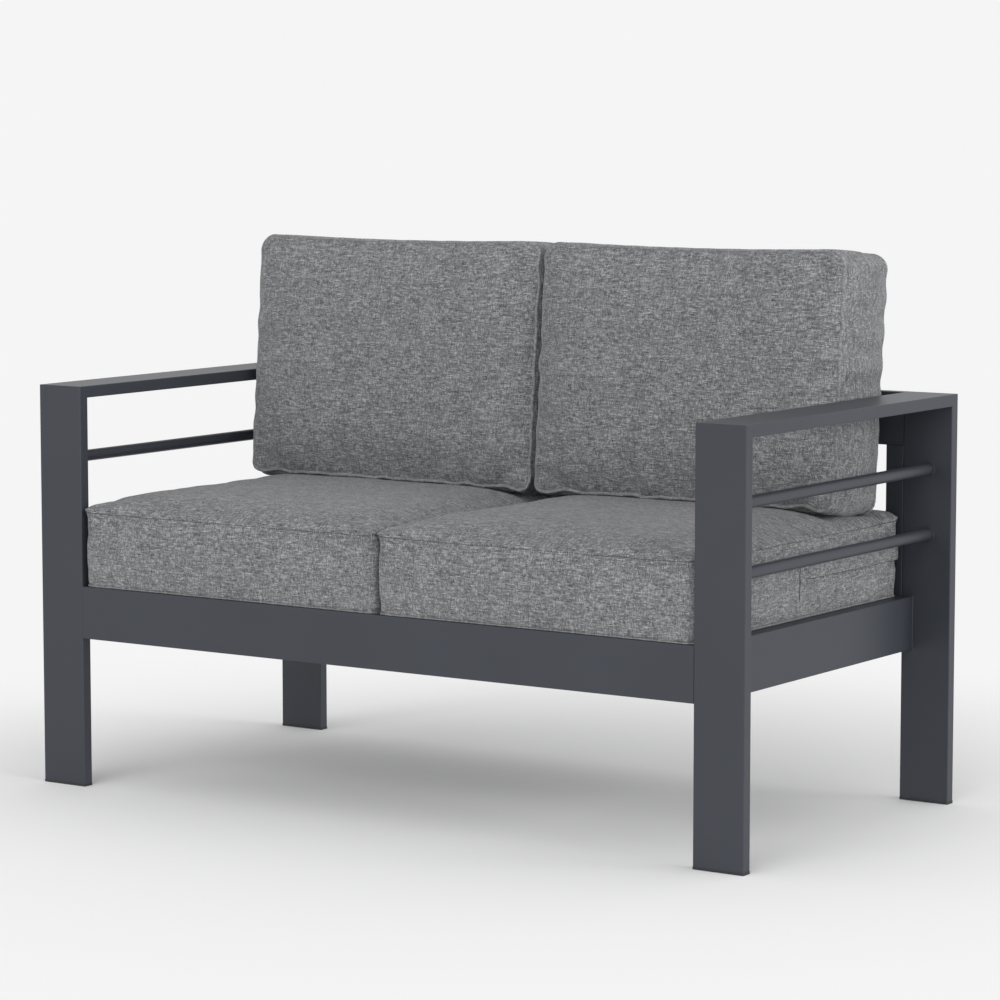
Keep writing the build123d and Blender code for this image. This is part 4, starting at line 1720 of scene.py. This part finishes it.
@dataclass
class Studio:
    """Pale floor that runs into a pale backdrop, soft light and the camera."""

    camera_place: tuple[float, float, float] = (3.1824, -4.7238, 1.0939)
    yaw: float = 33.838
    pitch: float = 6.353
    lens: float = 132.98
    sensor: float = 36.0
    sight: float = 60.0
    floor_reach: float = 40.0
    backdrop: float = 0.913
    floor_tone: float = 0.95
    floor_roughness: float = 0.9
    sky: float = 0.635
    near: float = 0.5
    far: float = 1.6
    lamps: tuple[Lamp, ...] = (Lamp("side", 95, 8, 50, 2.3), Lamp("front", 5, 15, 60, 1.75))

    def set_camera(self) -> None:
        """Place the camera at the photograph's viewpoint."""
        data = bpy.data.cameras.new("camera")
        data.lens = self.lens
        data.sensor_width = self.sensor
        data.clip_end = self.sight
        camera = bpy.data.objects.new("camera", data)
        camera.location = self.camera_place
        camera.rotation_euler = (math.radians(90 - self.pitch), 0, math.radians(self.yaw))
        bpy.context.scene.collection.objects.link(camera)
        bpy.context.scene.camera = camera

    def set_floor(self) -> None:
        """Lay the pale floor, which keeps the shadow near the object and turns into backdrop further off."""
        reach = self.floor_reach
        mesh = bpy.data.meshes.new("floor")
        corners = [(-reach, -reach, 0), (reach, -reach, 0), (reach, reach, 0), (-reach, reach, 0)]
        mesh.from_pydata(corners, [], [(0, 1, 2, 3)])
        shader = Shader("studio_floor")
        place = shader.add("ShaderNodeTexCoord").outputs["Object"]
        away = shader.add("ShaderNodeVectorMath", {"operation": "LENGTH"})
        shader.fill(away.inputs[0], place)
        fade = shader.add(
            "ShaderNodeMapRange", {"interpolation_type": "SMOOTHSTEP"},
            Value=away.outputs["Value"], From_Min=self.near, From_Max=self.far,
        )
        rays = shader.add("ShaderNodeLightPath").outputs
        seen = shader.math("MAXIMUM", rays["Is Camera Ray"], rays["Is Glossy Ray"])
        share = shader.times(seen, fade.outputs["Result"])
        glow = shader.add("ShaderNodeEmission", Color=(self.backdrop,) * 3 + (1,), Strength=1.0)
        mix = shader.add("ShaderNodeMixShader", Fac=share)
        tone = (self.floor_tone,) * 3 + (1,)
        shader.dress(Base_Color=tone, Roughness=self.floor_roughness, Specular_IOR_Level=0.0)
        shader.fill(mix.inputs[1], shader.surface.outputs[0])
        shader.fill(mix.inputs[2], glow.outputs[0])
        shader.fill(shader.tree.nodes["Material Output"].inputs["Surface"], mix.outputs[0])
        link_piece("floor", mesh, shader.material)

    def set_world(self) -> None:
        """Light the scene evenly from all round, with the pale backdrop behind."""
        world = bpy.data.worlds.new("studio")
        bpy.context.scene.world = world
        world.use_nodes = True
        tree = world.node_tree
        tree.nodes.clear()
        rays = tree.nodes.new("ShaderNodeLightPath")
        soft, shown = tree.nodes.new("ShaderNodeBackground"), tree.nodes.new("ShaderNodeBackground")
        soft.inputs["Color"].default_value = (1, 1, 1, 1)
        soft.inputs["Strength"].default_value = self.sky
        shown.inputs["Color"].default_value = (self.backdrop,) * 3 + (1,)
        shown.inputs["Strength"].default_value = 1.0
        mix, out = tree.nodes.new("ShaderNodeMixShader"), tree.nodes.new("ShaderNodeOutputWorld")
        seen = tree.nodes.new("ShaderNodeMath")
        seen.operation = "MAXIMUM"
        tree.links.new(rays.outputs["Is Camera Ray"], seen.inputs[0])
        tree.links.new(rays.outputs["Is Glossy Ray"], seen.inputs[1])
        tree.links.new(seen.outputs[0], mix.inputs[0])
        tree.links.new(soft.outputs[0], mix.inputs[1])
        tree.links.new(shown.outputs[0], mix.inputs[2])
        tree.links.new(mix.outputs[0], out.inputs[0])

    def build(self) -> None:
        """Set the whole studio."""
        bpy.context.scene.view_settings.view_transform = "Standard"
        self.set_camera()
        self.set_floor()
        self.set_world()
        for lamp in self.lamps:
            lamp.hang()


def dress_frame(nodes: dict[str, bpy.types.Object], finishes: Finishes) -> None:
    """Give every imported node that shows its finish.

    Args:
        nodes: the nodes by name.
        finishes: the finishes.
    """
    for name, node in nodes.items():
        if name.endswith("_foot"):
            material = finishes.foot
        elif name in ("screws", "washers", "rivet_nuts"):
            material = finishes.steel
        elif name.endswith("_slider"):
            material = finishes.slider
        elif name.endswith("_zipper"):
            material = finishes.tape
        else:
            material = finishes.coat
        node.data.materials.clear()
        node.data.materials.append(material)


def main() -> None:
    """Build the loveseat and its studio in order."""
    logging.basicConfig(level=logging.INFO, format="%(name)s: %(message)s")
    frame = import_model()
    finishes = Finishes.build()
    dress_frame(frame["nodes"], finishes)
    Studio().build()
    stance = Stance.read()
    cord, bead = CordTree(), BeadTree()
    seats = [SeatCushion(side, way, stance, finishes) for side, way in SIDES]
    backs = [BackCushion(seat.side, seat.way, stance, finishes, seat=seat) for seat in seats]
    cushions = seats + backs
    pieces = [cushion.cover() for cushion in cushions]
    ends = [None] * len(cushions)
    stuffing = Stuffing()
    for cushion in cushions:
        stuffing.start(cushion.piece, cushion.held())
    ends = stuffing.run(pieces)
    for cushion, end in zip(cushions, ends):
        cushion.settle(end)
    for seat, back in zip(seats, backs):
        seat.add_seams(cord, bead)
        seat.add_flap(bead)
        back.add_piping(cord)
    Welds(stance, finishes).build(bead)


if __name__ == "__main__":
    main()
